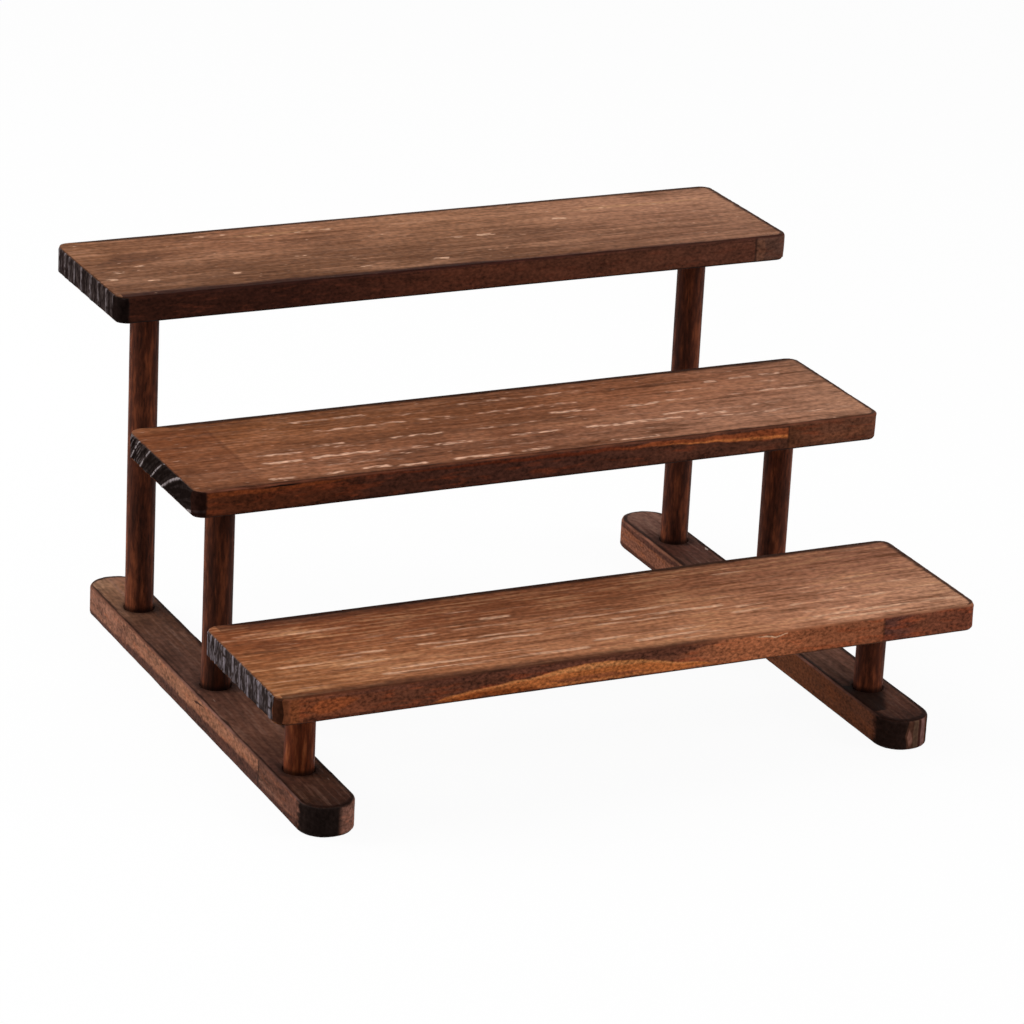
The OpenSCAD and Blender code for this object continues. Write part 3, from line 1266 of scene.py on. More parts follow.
@dataclass
class BaseRail(Plank):
    """One floor rail with the sockets of its three posts.

    Attributes:
        side: which of the two it is.
        grain: how it was sawn.
        look: what the flame, the brush and the stain left on it, and any painted shadow on its top.
        corner_r: radius of its round ends.
        arris_r: radius of the eased arrises.
        socket_gap: room round a post's foot.
        mouth: width and depth of the eased rim of a socket.
        shank_r: radius of the bore for a rail screw.
        seat_r: radius of the seat of the screw's head, at its wide end.
        seat_deep: how deep the seat goes before it narrows.
        wear: how deep the rail is worn.
    """

    side: Side
    grain: GrainPlan
    look: PlankLook
    corner_r: float = 14.0
    arris_r: float = 1.5
    socket_gap: float = 0.1
    mouth: float = 0.8
    shank_r: float = 2.2
    seat_r: float = 4.05
    seat_deep: float = 0.9
    wear: Wear = Wear(end_relief=0.1, face_relief=0.14, arris_loss=0.45)
    turn = math.pi / 2

    @property
    def node(self) -> str:
        """Returns the name of the rail's node in the frame."""
        return f"base_rail_{self.side.value}"

    def bore(self, shape: PlankShape, low: Vector, high: Vector) -> list[tuple[float, float]]:
        """Draws the screw's seat and bore, and the socket of a post's foot above them.

        Args:
            shape: the rail's sizes.
            low: low corner of the post.
            high: its high corner.

        Returns:
            (radius, height above the rail's underside, which is the floor) points, from axis to
            axis.
        """
        socket_r = (high.x - low.x) / 2 + self.socket_gap
        top = shape.centre[2]
        # The seat narrows at 45 degrees, and the socket's rim opens at 45 degrees
        seat_top = self.seat_deep + self.seat_r - self.shank_r
        return [(0, -1), (self.seat_r, -1), (self.seat_r, self.seat_deep),
                (self.shank_r, seat_top), (self.shank_r, low.z), (socket_r, low.z),
                (socket_r, top - self.mouth), (socket_r + self.mouth + 1, top + 1), (0, top + 1)]

    def build(self) -> bpy.types.Object:
        """Makes and dresses the rail, and puts it in its node's place."""
        shape = self.shape()
        posts = [f"post_{tier.value}_{self.side.value}" for tier in Tier]
        piece, spots = self.drilled(f"rail_{self.side.value}", shape, posts)
        feet = tuple(y - shape.centre[1] for _, y, _ in spots)
        TorchedPine(f"rail_{self.side.value}", shape, self.grain, self.look, feet).dress(piece)
        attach(piece, "root")
        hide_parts(self.node)
        return piece


@dataclass(frozen=True)
class DowelStain:
    """Birch dowel, turned smooth and stained a deep red-brown, darker in its open grain.

    Attributes:
        name: the material's name.
        axis: foot of the post's axis.
        seed: offset that makes the post's patterns its own.
        dark: sRGB colour of its dark streaks.
        mid: its brown.
        light: its light streaks.
        pore: stain in the open grain.
        soaked_and_shade: stain that gathered where the post meets its rail, which also paints the
            shade there.
    """

    name: str
    axis: Place
    seed: float
    dark: str
    mid: str
    light: str
    pore: str = "#1c0e09"
    soaked_and_shade: str = "#120906"

    def make(self) -> bpy.types.Material:
        """Returns the finished material."""
        material = new_material(self.name)
        tree = material.node_tree
        place = own_place(tree, self.axis)
        fibre, streak, pore = (
            pattern.draw(tree, place, self.seed)
            for pattern in (POST_FIBRE, POST_STREAK, POST_PORE)
        )
        tone = add_node(tree, MATH, MULTIPLY_ADD, {0: streak, 1: 0.9, 2: -0.3})
        tone = add_node(tree, MATH, MULTIPLY_ADD, {0: fibre, 1: 0.7, 2: tone})
        tint = add_node(tree, RAMP, {"stops": [
            (0.25, linear(self.dark)), (0.5, linear(self.mid)), (0.75, linear(self.light)),
        ]}, {0: tone})
        open_grain = add_node(tree, RANGE, SMOOTH, {0: pore, 1: 0.58, 2: 0.7, 3: 0.0, 4: 0.5})
        tint = add_node(tree, MIX, COLOUR, {
            FACTOR: open_grain, FIRST: tint, SECOND: linear(self.pore),
        })
        # The rail's top is 7 above the post's foot, and the gathered stain with its painted shade
        # ends 3.5 above the rail
        above = add_node(tree, SPLIT, inputs={0: place}).outputs["Z"]
        foot = add_node(tree, RANGE, SMOOTH, {0: above, 1: 10.5, 2: 7.4, 3: 0.0, 4: 0.8})
        tint = add_node(tree, MIX, COLOUR, {
            FACTOR: foot, FIRST: tint, SECOND: linear(self.soaked_and_shade),
        })
        rough = add_node(tree, RANGE, inputs={0: fibre, 1: 0.3, 2: 0.7, 3: 0.62, 4: 0.48})
        bump = add_node(tree, "ShaderNodeBump", inputs={
            "Height": fibre, "Strength": 0.35, "Distance": 0.15 * MM,
        })
        surface = add_node(tree, PRINCIPLED, inputs={
            "Base Color": tint, "Roughness": rough, "Normal": bump,
            "Specular IOR Level": 0.05, "IOR": 1.5,
        })
        add_node(tree, OUTPUT, inputs={"Surface": surface})
        return material


@dataclass
class Post:
    """One round post with the bores of its two screws.

    Attributes:
        tier: the level of the board that it carries.
        side: the rail that it stands in.
        seed: offset that makes its patterns its own.
        tones: its stain in sRGB colours, from dark to light.
        chamfer: width of the chamfer at its two ends.
        foot_bore_r: radius of the bore for the rail screw.
        foot_bore_deep: how far that bore reaches up.
        head_bore_r: radius of the bore for the shelf screw.
        head_bore_deep: how far that bore reaches down.
        relief: depth of the tool marks on its round.
        mark_wide: width of a tool mark.
        mark_long: its length up the post.
        step_up: spacing of the mesh's cuts up the post.
        facets: how many facets go round.
    """

    tier: Tier
    side: Side
    seed: float
    tones: tuple[str, str, str] = ("#2d160f", "#52291b", "#87482d")
    chamfer: float = 0.8
    foot_bore_r: float = 2.05
    foot_bore_deep: float = 21.0
    head_bore_r: float = 2.55
    head_bore_deep: float = 17.0
    relief: float = 0.09
    mark_wide: float = 1.7
    mark_long: float = 30.0
    step_up: float = 5.0
    facets: int = 60

    @property
    def node(self) -> str:
        """Returns the name of the post's node in the frame."""
        return f"post_{self.tier.value}_{self.side.value}"

    def build(self) -> bpy.types.Object:
        """Turns, roughens and dresses the post, and puts it in its node's place."""
        low, high = node_box(self.node)
        radius, length = (high.x - low.x) / 2, high.z - low.z
        bm = turned([
            (0, self.foot_bore_deep), (self.foot_bore_r, self.foot_bore_deep),
            (self.foot_bore_r, 0), (radius - self.chamfer, 0), (radius, self.chamfer),
            (radius, length - self.chamfer), (radius - self.chamfer, length),
            (self.head_bore_r, length), (self.head_bore_r, length - self.head_bore_deep),
            (0, length - self.head_bore_deep),
        ], self.facets)
        for i in range(1, round(length / self.step_up)):
            PlankShape.cut(bm, 2, i * self.step_up)
        seeded = Vector((self.seed,) * 3)
        wide, long = self.mark_wide, self.mark_long
        for vert in bm.verts:
            out = Vector((vert.co.x, vert.co.y, 0))
            if out.length > radius - 0.01:
                rough = noise.noise(Vector((out.x / wide, out.y / wide, vert.co.z / long)) + seeded)
                vert.co -= out.normalized() * self.relief * (0.5 + 0.5 * rough)
        axis = ((low.x + high.x) / 2, (low.y + high.y) / 2, low.z)
        placing = Matrix.Translation(Vector(axis) * MM) @ Matrix.Scale(MM, 4)
        bmesh.ops.transform(bm, matrix=placing, verts=bm.verts)
        label = f"dowel_{self.tier.value}_{self.side.value}"
        piece = new_piece(label, bm)
        smooth_faces(piece)
        piece.data.materials.append(
            DowelStain(f"stained_{label}", axis, self.seed, *self.tones).make())
        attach(piece, "root")
        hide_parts(self.node)
        return piece


@dataclass(frozen=True)
class ZincPlate:
    """Zinc-plated steel of the screws: grey metal, dulled and rubbed along the thread.

    Attributes:
        name: the material's name.
        bright: sRGB colour of the plating where it is clean.
        dull: the same where it has dulled.
        seed: offset of its patterns.
    """

    name: str = "zinc_plated_steel"
    bright: str = "#c6c5bf"
    dull: str = "#8d8c88"
    seed: float = 3.0

    def make(self) -> bpy.types.Material:
        """Returns the finished material."""
        material = new_material(self.name)
        tree = material.node_tree
        place = own_place(tree, (0, 0, 0))
        cloud = DULL_CLOUD.draw(tree, place, self.seed)
        rub = THREAD_RUB.draw(tree, place, self.seed)
        tint = add_node(tree, RAMP, {"stops": [
            (0.35, linear(self.dull)), (0.65, linear(self.bright)),
        ]}, {0: cloud})
        rough = add_node(tree, RANGE, inputs={0: rub, 1: 0.3, 2: 0.7, 3: 0.28, 4: 0.5})
        surface = add_node(tree, PRINCIPLED, inputs={
            "Base Color": tint, "Roughness": rough, "Metallic": 1.0,
        })
        add_node(tree, OUTPUT, inputs={"Surface": surface})
        return material


@dataclass
class Screws:
    """The screws that hold the riser together, which stay as the frame has them.

    Attributes:
        finish: their metal.
    """

    finish: ZincPlate = ZincPlate()

    def dress(self) -> int:
        """Gives every screw its metal and returns how many were dressed."""
        metal = self.finish.make()
        screws = [node for name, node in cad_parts.items() if "screw" in name]
        for screw in screws:
            screw.data.materials.clear()
            screw.data.materials.append(metal)
        return len(screws)


@dataclass
class Studio:
    """The camera, the white floor and surroundings, and the soft lamps.

    Attributes:
        azimuth: where the camera stands round the riser from its front, in degrees.
        elevation: how high it stands, in degrees.
        roll: how far it is tilted sideways, in degrees.
        distance: how far it stands from the target.
        target: the place that it looks at.
        lens: its focal length.
        sensor: width of its film.
        dome: how bright the surroundings light the riser.
        floor_half: half the floor's size, in metres.
        floor_drop: how far the floor lies below the riser, in metres.
    """

    azimuth: float = -26.163
    elevation: float = 20.724
    roll: float = 2.931
    distance: float = 2389.18
    target: Place = (3.68, 0.0, 94.95)
    lens: float = 155.577
    sensor: float = 36.0
    dome: float = 0.32
    floor_half: float = 9.0
    floor_drop: float = 0.0002

    def camera(self) -> None:
        """Sets the camera where the photograph was taken from."""
        turn, tilt = math.radians(self.azimuth), math.radians(self.elevation)
        back = Vector((math.sin(turn) * math.cos(tilt), -math.cos(turn) * math.cos(tilt),
                       math.sin(tilt)))
        right = Vector((0, 0, 1)).cross(back).normalized()
        up = back.cross(right)
        level = Matrix((right, up, back)).transposed().to_4x4()
        eye = (Vector(self.target) + back * self.distance) * MM
        data = bpy.data.cameras.new("camera")
        data.lens = self.lens
        data.sensor_width = self.sensor
        camera = bpy.data.objects.new("camera", data)
        camera.matrix_world = (Matrix.Translation(eye) @ level
                               @ Matrix.Rotation(math.radians(self.roll), 4, "Z"))
        bpy.context.scene.collection.objects.link(camera)
        bpy.context.scene.camera = camera

    def seen_white(self, tree: bpy.types.NodeTree) -> bpy.types.Node:
        """Returns a value that is 1 for rays that see the white, and 0 for rays that light."""
        path = add_node(tree, "ShaderNodeLightPath")
        seen = add_node(tree, MATH, MAXIMUM, {
            0: path.outputs["Is Camera Ray"], 1: path.outputs["Is Glossy Ray"],
        })
        return add_node(tree, MATH, MAXIMUM, {0: seen, 1: path.outputs["Is Transmission Ray"]})

    def world(self) -> None:
        """Surrounds the riser with an even, dimmer dome that the camera sees as white."""
        world = bpy.data.worlds.new("studio")
        world.use_nodes = True
        tree = world.node_tree
        tree.nodes.clear()
        level = add_node(tree, RANGE, inputs={0: self.seen_white(tree), 3: self.dome, 4: 1.0})
        sky = add_node(tree, "ShaderNodeBackground", inputs={
            "Color": linear("#ffffff"), "Strength": level,
        })
        add_node(tree, "ShaderNodeOutputWorld", inputs={"Surface": sky})
        bpy.context.scene.world = world

    def floor(self) -> None:
        """Lays the pale floor, white to the camera but for the riser's soft shadow."""
        bm = bmesh.new()
        bmesh.ops.create_grid(bm, x_segments=8, y_segments=8, size=self.floor_half)
        bmesh.ops.translate(bm, vec=(0, 0, -self.floor_drop), verts=bm.verts)
        floor = new_piece("floor", bm)
        material = new_material("white_sweep")
        tree = material.node_tree
        lit = add_node(tree, "ShaderNodeBsdfDiffuse", inputs={"Color": linear("#ffffff")})
        glow = add_node(tree, "ShaderNodeEmission", inputs={"Color": linear("#ffffff")})
        white = add_node(tree, "ShaderNodeMixShader", inputs={0: 0.95, 1: lit, 2: glow})
        grey = add_node(tree, "ShaderNodeBsdfDiffuse", inputs={"Color": linear("#b0b0b0")})
        both = add_node(tree, "ShaderNodeMixShader", inputs={
            0: self.seen_white(tree), 1: grey, 2: white,
        })
        add_node(tree, OUTPUT, inputs={"Surface": both})
        floor.data.materials.append(material)

    def lamp(self, name: str, towards: Place, away: float, size: tuple[float, float],
             level: float) -> None:
        """Hangs one soft lamp that is aimed at the riser.

        Args:
            name: the lamp's name.
            towards: direction from the riser to the lamp.
            away: distance from the riser in metres.
            size: the lamp's width and height in metres.
            level: brightness of a white face that is square to the lamp.
        """
        data = bpy.data.lights.new(name, "AREA")
        data.shape = "RECTANGLE"
        data.size, data.size_y = size
        data.energy = level * math.pi ** 2 * away ** 2
        lamp = bpy.data.objects.new(name, data)
        aim = Vector(towards).normalized()
        lamp.location = Vector(self.target) * MM + aim * away
        lamp.rotation_euler = aim.to_track_quat("Z", "Y").to_euler()
        bpy.context.scene.collection.objects.link(lamp)

    def build(self) -> None:
        """Sets up the whole studio."""
        self.camera()
        self.world()
        self.floor()
        self.lamp("overhead", (-0.25, 0.15, 0.96), 2.0, (1.4, 1.4), 0.37)
        self.lamp("left_softbox", (-0.80, 0.45, 0.40), 2.0, (0.8, 1.2), 0.6)
        self.lamp("right_softbox", (0.75, -0.55, 0.35), 2.0, (0.6, 1.0), 0.35)
        bpy.context.scene.view_settings.view_transform = "Standard"


# The boards and rails. Places lie along and across a plank from its middle, and up from its top
# face. A plank's left end is the riser's left, and on a rail it is the riser's front.

# The lowest board, with long pale streaks and an amber figure on its front
LOW_BOARD = ShelfBoard(
    Tier.LOW,
    GrainPlan(pith_y=410, pith_z=-20, rings=(371.5, 377, 390.5, 402.5, 411.5, 422, 437, 451),
              sway=6.0, seed=7.9, seams=(142.9,), summer=0.36),
    PlankLook(
        top_front=((-200, "#8d5734"), (-100, "#9c6342"), (60, "#aa7151"), (130, "#bc8365"),
                   (200, "#b68467")),
        top_back=((-200, "#82482a"), (-100, "#80482c"), (30, "#864f33"), (120, "#996349"),
                  (200, "#a16b52")),
        top_dark="#633820", top_light="#be8961", fleck="#d0a182",
        side_run=((-200, "#8f5032"), (-160, "#894c33"), (-135, "#71412e"), (-50, "#64392a"),
                  (20, "#794733"), (50, "#b86d48"), (85, "#b56b47"), (105, "#97583a"),
                  (142.7, "#94563a"), (143.1, "#613a31"), (156, "#6b3e31"), (164, "#824a34"),
                  (200, "#7c4431")),
        ember="#b3532c",
        rows=(
            BrushRow(31, ((-190, -160, 0.3), (84, 100, 0.8))),
            BrushRow(27, ((-198, -125, 0.5), (-75, -60, 0.5))),
            BrushRow(14, ((-60, -46, 0.8), (100, 122, 0.5))),
            BrushRow(5, ((-112, -92, 0.8), (-80, -5, 0.5), (150, 170, 0.5))),
            BrushRow(0.5, ((-24, 46, 0.6), (60, 140, 0.3))),
            BrushRow(-7.5, ((-155, -125, 0.7), (-104, -80, 0.8), (-72, -16, 0.7), (4, 68, 1.0),
                            (78, 92, 0.6), (118, 142, 0.9), (156, 180, 0.6))),
            BrushRow(-12.5, ((-184, -140, 0.6), (-98, -40, 0.7), (-6, 56, 0.7), (76, 90, 0.5))),
            BrushRow(-19, ((-150, -122, 0.4), (-60, -20, 0.3), (70, 90, 0.7), (104, 128, 0.9),
                           (140, 158, 0.9))),
            BrushRow(-30.5, ((-130, -48, 0.8), (-16, 46, 0.8), (106, 130, 0.7))),
            BrushRow(-37, ((-136, -24, 0.8), (4, 46, 0.8), (108, 194, 0.8))),
            BrushRow(-43, ((30, 62, 0.6), (114, 154, 0.8))),
        ),
        mark=22.0, stray=0.7, streaky=0.8, streak=(60, 3.6, 3.6), glint=0.42, drawn=0.3,
        speckled=2.6,
        top_patches=(
            Patch(((-190, 12, 16), (-178, 8, 24), (-160, 12, 20), (-150, 16, 17)),
                  "#5f3420", 0.6, 5.0),
            Patch(((-40, -22, -20), (-20, -26, -14), (0, -22, -16), (10, -19, -18)),
                  "#6a3f2a", 0.5, 5.0),
            Patch(((-197, -58, -41.5), (-60, -58, -41.5), (30, -58, -43), (62, -58, -49)),
                  "#4c2b1d", 0.85, 6.0),
            Patch(((-194, 36, 58), (-150, 34, 58), (-100, 37, 58), (-50, 44, 58)),
                  "#48261a", 0.65, 8.0),
        ),
        side_patches=(
            Patch(((-175, -3, -1), (-150, -3.5, -0.6), (-110, -4.2, -0.6), (-60, -4.6, -0.6),
                   (0, -6, -0.6), (20, -6, -0.6), (36, -3.4, -0.8), (52, -2, -1.2)),
                  "#6e4030", 0.85),
            Patch(((-170, -1.8, -0.4), (0, -2.4, -0.4), (50, -1.8, -0.6)), "#44251c", 0.6),
            Patch(((-186, -14.6, -11.6), (-130, -14.6, -12.4), (-116, -14.6, -13),
                   (-112, -14, -14)), "#43231b", 0.7),
            Patch(((-192.8, -14, -1), (-191, -14, -1), (-188.6, -14, -1), (-188, -8, -8)),
                  "#92512f", 0.8, 0.8),
            Patch(((-184, -9, -8), (-177, -12, -3), (-164, -9, -2.4), (-156, -5, -4)),
                  "#ad5a32", 0.75),
            Patch(((-117, -13.6, -13.2), (-108, -14, -10.4), (-95, -14, -8.8), (-75, -14, -7.4),
                   (-60, -14, -6.2), (-48, -14, -4.0), (-36, -14, -3.0), (-20, -14, -3.3),
                   (-5, -14, -3.9), (5, -14, -5.4), (13, -14, -7.0), (25, -14, -8.8),
                   (38, -13.8, -11), (47, -13.4, -13.2)), "#c16e3b", 1.0, 1.2),
            Patch(((-108, -11.6, -10.4), (-75, -9.4, -7.4), (-58, -8.6, -6.0), (-46, -7.8, -3.9),
                   (-30, -7.4, -3.1), (-8, -7.6, -3.8), (5, -8, -5.3), (25, -10.8, -8.8),
                   (38, -12, -11)), "#e2965c", 0.7, 1.4),
            Patch(((-117, -14.4, -13), (-95, -14.4, -10.2), (-72, -14.4, -10.0), (-58, -14.4, -12)),
                  "#8c431c", 0.85, 1.6),
            Patch(((-55, -10.8, -10.2), (-40, -12.4, -9.2), (-20, -12.8, -9.4), (0, -12.6, -10.8),
                   (12, -11.8, -11.4)), "#904f36", 0.6, 1.0),
            Patch(((-48, -12.2, -11.6), (-26, -13.6, -12.4), (0, -13.4, -12.6), (14, -12.6, -12)),
                  "#d98f5e", 0.7, 0.8),
            Patch(((66, -1.6, -1.2), (73, -2.8, -1.4), (78, -3.6, -2.4), (85, -2, -1.2)),
                  "#ecbd98", 0.95, 0.5),
        ),
        end_patches=(
            Patch(((-60, -24, 4), (-45, -24, 4), (-42, -9, -8)), "#8a4f33", 0.95, 1.5),
            Patch(((-49.2, -9, -8), (-48, -24, 4), (-43.5, -24, 4), (-42.5, -9, -8)),
                  "#241410", 0.85, 1.5),
        ),
        char="#2e2625", ash="#7f757a", whole=0.6, ashen=(0.72, 0.78), burn=(0.15, 6.5, 0.15, 5.0),
        arris_run=((-200, "#6b4833"), (-185, "#5b301f"), (-90, "#4e2e20"), (25, "#5c3425"),
                   (70, "#8f593e"), (110, "#a86a4a"), (150, "#905f46")),
    ),
)

# The middle board, flat sawn, with rows of brush marks
MIDDLE_BOARD = ShelfBoard(
    Tier.MIDDLE,
    GrainPlan(pith_y=-65, pith_z=-100, rings=(91.5, 108, 117.5, 129, 139.5, 147, 156), sway=3.0,
              seed=4.7, seams=(143.0,), summer=0.18),
    PlankLook(
        top_front=((-200, "#825033"), (-128, "#8a583e"), (0, "#7f4f37"), (90, "#9a6950"),
                   (160, "#a6755b"), (200, "#a97a60")),
        top_back=((-200, "#7b472a"), (-128, "#814e2f"), (0, "#845033"), (90, "#9d6243"),
                  (160, "#a66f53"), (200, "#a17258")),
        top_dark="#4f2a16", top_light="#a87354", fleck="#d4a68b",
        side_run=((-200, "#5c2f1c"), (-130, "#562c1b"), (-100, "#4c2b20"), (0, "#4f2e24"),
                  (60, "#5a3528"), (142.8, "#583527"), (143.2, "#623a26"), (165, "#704532"),
                  (200, "#694130")),
        ember="#8a4023",
        rows=(
            BrushRow(33, ((-113, -72, 0.8), (-15, 56, 0.6))),
            BrushRow(27, ((-60, -40, 0.3), (131, 137, 1.0), (147, 160, 1.0), (167, 178, 0.9)),
                     fade=1.5),
            BrushRow(17, ((-105, -56, 0.8), (-46, -25, 0.5), (-10, 46, 0.6), (104, 124, 0.7),
                          (160, 170, 0.6))),
            BrushRow(4, ((27, 51, 0.9), (69, 90, 0.9), (98, 116, 0.5), (136, 141, 0.6),
                         (154, 182, 0.9))),
            BrushRow(-5, ((-116, -100, 0.6), (-72, -43, 0.7), (-20, 10, 0.4))),
            BrushRow(-9.5, ((-150, -126, 0.8), (-105, -90, 0.4), (60, 80, 0.3))),
            BrushRow(-14.5, ((85, 131, 0.6), (140, 156, 0.5))),
            BrushRow(-21, ((-150, -130, 0.8), (-123, -86, 0.9), (-78, -60, 0.5), (-52, -32, 0.8),
                           (-8, 20, 0.7), (36, 92, 0.9), (104, 119, 0.8)), half=1.8),
            BrushRow(-27, ((-88, -70, 0.4), (110, 154, 0.6))),
            BrushRow(-34, ((-120, -80, 0.4), (-30, 0, 0.3), (140, 190, 0.4))),
            BrushRow(-44, ((-155, -144, 0.7), (-126, -116, 0.7), (-103, -70, 0.9), (-52, -22, 0.9),
                           (-12, 3, 0.8), (40, 70, 0.6))),
        ),
        mark=7.0, stray=0.7, streaky=0.6, glint=0.54, drawn=0.3, speckled=2.2,
        top_patches=(
            Patch(((-206, -14, 39), (-160.4, -14, 39), (-160, 12, 13)), "#5f2f1a", 0.3, 0.8),
            Patch(((-161.5, -14, 39), (-160.8, -14, 39), (-159.6, -14, 39), (-159, 12, 13)),
                  "#4a2717", 0.25, 1.2),
            Patch(((-206, -58, -13), (-162, -58, -13), (-160, -34, -33)), "#5f3523", 0.38, 3.0),
            Patch(((-157, -10, -4), (-125, -11, 10), (-90, -12, 8), (-40, -12, 4), (-10, -4, -2)),
                  "#5e3823", 0.45, 7.0),
            Patch(((-20, 2, 4), (0, -12, 12), (40, -14, 0), (60, -8, -6)), "#5e3823", 0.45, 7.0),
            Patch(((-197, -58, -41), (-150, -58, -42), (0, -58, -44), (190, -58, -46)),
                  "#4d2e20", 0.45, 5.0),
        ),
        side_patches=(
            Patch(((-196, -14.6, -12.4), (0, -14.6, -12.8), (142, -14.6, -13)), "#2b1712", 0.5),
            Patch(((-194, -4.8, -1.2), (-160, -4.6, -1.6), (-132, -4.0, -1.4), (-110, -2.6, -1.4)),
                  "#8c4522", 0.6, 0.9),
            Patch(((-162, -1.6, -1.0), (-155, -2.4, -0.6), (-147, -2.4, -0.8), (-142, -1.4, -1.2)),
                  "#120a08", 1.0, 0.6),
            Patch(((-126, -2.0, -1.4), (-60, -3.4, -1.0), (0, -4.2, -1.0), (46, -4.4, -1.2),
                   (60, -3, -2)), "#742f14", 0.6),
            Patch(((30, -3, -2.6), (60, -4.8, -1.2), (85, -5.6, -1.4), (110, -6.8, -1.4),
                   (142.6, -8.6, -1.4), (143, -5, -5)), "#994f2d", 0.95),
            Patch(((146, -13, -12), (165, -13, -7), (188, -12.6, -5), (196, -8, -7)),
                  "#8d553a", 0.5, 3.5),
            Patch(((56, -4.2, -3.8), (85, -5.6, -3.4), (110, -6.6, -4.2), (142.6, -8.4, -5.4),
                   (143, -7, -7)), "#cf7c44", 0.8),
        ),
        end_patches=(Patch(((-60, -24, 4), (-46, -24, 4), (-42, -6, -5)), "#2a1712", 0.95, 1.5),),
        ash="#968b8b", whole=0.6, ashen=(0.12, 0.6), burn=(2.2, 6.5, 0.15, 3.8),
        arris_run=((-200, "#523a2c"), (-192, "#86503c"), (-130, "#6d3c2a"), (-15, "#76432e"),
                   (55, "#683b2a"), (150, "#6b3e2d")),
        seam=0.4,
    ),
)

# The top board, the darkest, with few brush marks
HIGH_BOARD = ShelfBoard(
    Tier.HIGH,
    GrainPlan(pith_y=330, pith_z=-6, rings=(289, 298.5, 304.5, 313, 324.5, 339, 350.5, 363, 373),
              sway=4.0, seed=11.3, seams=(179.2,), summer=0.4),
    PlankLook(
        top_front=((-200, "#6d4833"), (-100, "#724c35"), (20, "#714b35"), (145, "#855b45"),
                   (200, "#8a604a")),
        top_back=((-200, "#7d5339"), (-100, "#8d5e44"), (20, "#95674b"), (145, "#a37359"),
                  (200, "#a6775d")),
        top_dark="#54321f", top_light="#ab7b5e", fleck="#d0a487",
        side_run=((-200, "#391d14"), (-100, "#3c1f17"), (0, "#5d3324"), (100, "#5e3728"),
                  (178.8, "#623a2c"), (179.6, "#634336"), (200, "#614237")),
        ember="#6b3726",
        rows=(
            BrushRow(39, ((-122, -105, 0.4), (-68, -50, 0.45))),
            BrushRow(32, ((-95, -45, 0.45), (-10, 5, 0.3))),
            BrushRow(25, ((-110, -95, 0.3), (108, 172, 0.4))),
            BrushRow(14, ((-30, -18, 0.5), (84, 90, 1.0))),
            BrushRow(-1, ((-174, -169, 1.0), (15, 20, 0.8), (30, 38, 1.0))),
            BrushRow(-9.5, ((-187, -182, 1.0), (-82, -76, 0.6), (120, 150, 0.3))),
            BrushRow(-20, ((-195, -190, 0.8), (-60, -50, 0.3), (95, 110, 0.3))),
            BrushRow(-27, ((-174, -168, 0.9), (-126, -120, 0.8), (26, 34, 0.5))),
            BrushRow(-35.5, ((-54, -49, 0.8), (-12, -4, 0.9), (160, 176, 0.4))),
        ),
        mark=6.0, stray=0.73, streaky=0.5, speckled=2.0,
        top_patches=(
            Patch(((-194, 2, 5), (-176, 0, 26), (-156, 2, 24), (-140, 10, 16)),
                  "#503020", 0.55, 9.0),
            Patch(((-90, -6, -5), (-60, -12, 14), (-30, -16, 4), (-10, -8, -6)),
                  "#5b3a27", 0.35, 9.0),
            Patch(((20, -12, -10), (45, -16, 12), (75, -14, 6), (95, -6, -4)),
                  "#5b3a27", 0.35, 9.0),
            Patch(((70, -20, -18), (110, -24, -13), (165, -23, -14), (185, -18, -17)),
                  "#573725", 0.5, 5.0),
            Patch(((-112, 33, 35), (-90, 31, 37), (-50, 32, 36), (-36, 33, 35)),
                  "#b7875f", 0.4, 2.5),
            Patch(((92, 24, 26), (118, 23, 30), (165, 23, 29), (194, 25, 28)),
                  "#bd8d64", 0.45, 3.5),
            Patch(((-80, -58, -50), (-20, -58, -43), (196, -58, -45.5)), "#4f3026", 0.9, 5.0),
            Patch(((-197, -58, -40.5), (-40, -58, -42), (20, -58, -44), (90, -58, -50)),
                  "#2c130d", 0.95, 5.0),
        ),
        side_patches=(
            Patch(((-193, -2.6, -1), (0, -2.4, -1), (178, -2.8, -1)), "#2b1511", 0.6),
            Patch(((179.6, -14, -1.5), (181, -14, -1.5), (184.5, -14, -1.5), (185.5, -8, -8)),
                  "#8a5a42", 0.35, 0.8),
        ),
        end_patches=(Patch(((-60, -24, 4), (-43, -24, 4), (-40, -9, -8)), "#1b1210", 0.95, 1.5),),
        char="#211918", ash="#665c5d", ashen=(0.45, 0.55), burn=(2.0, 6.0, 0.15, 4.8),
        arris_run=((-200, "#493226"), (-192, "#36190f"), (-165, "#2f150f"), (40, "#381815"),
                   (115, "#47271f")),
        seam=0.6,
    ),
)

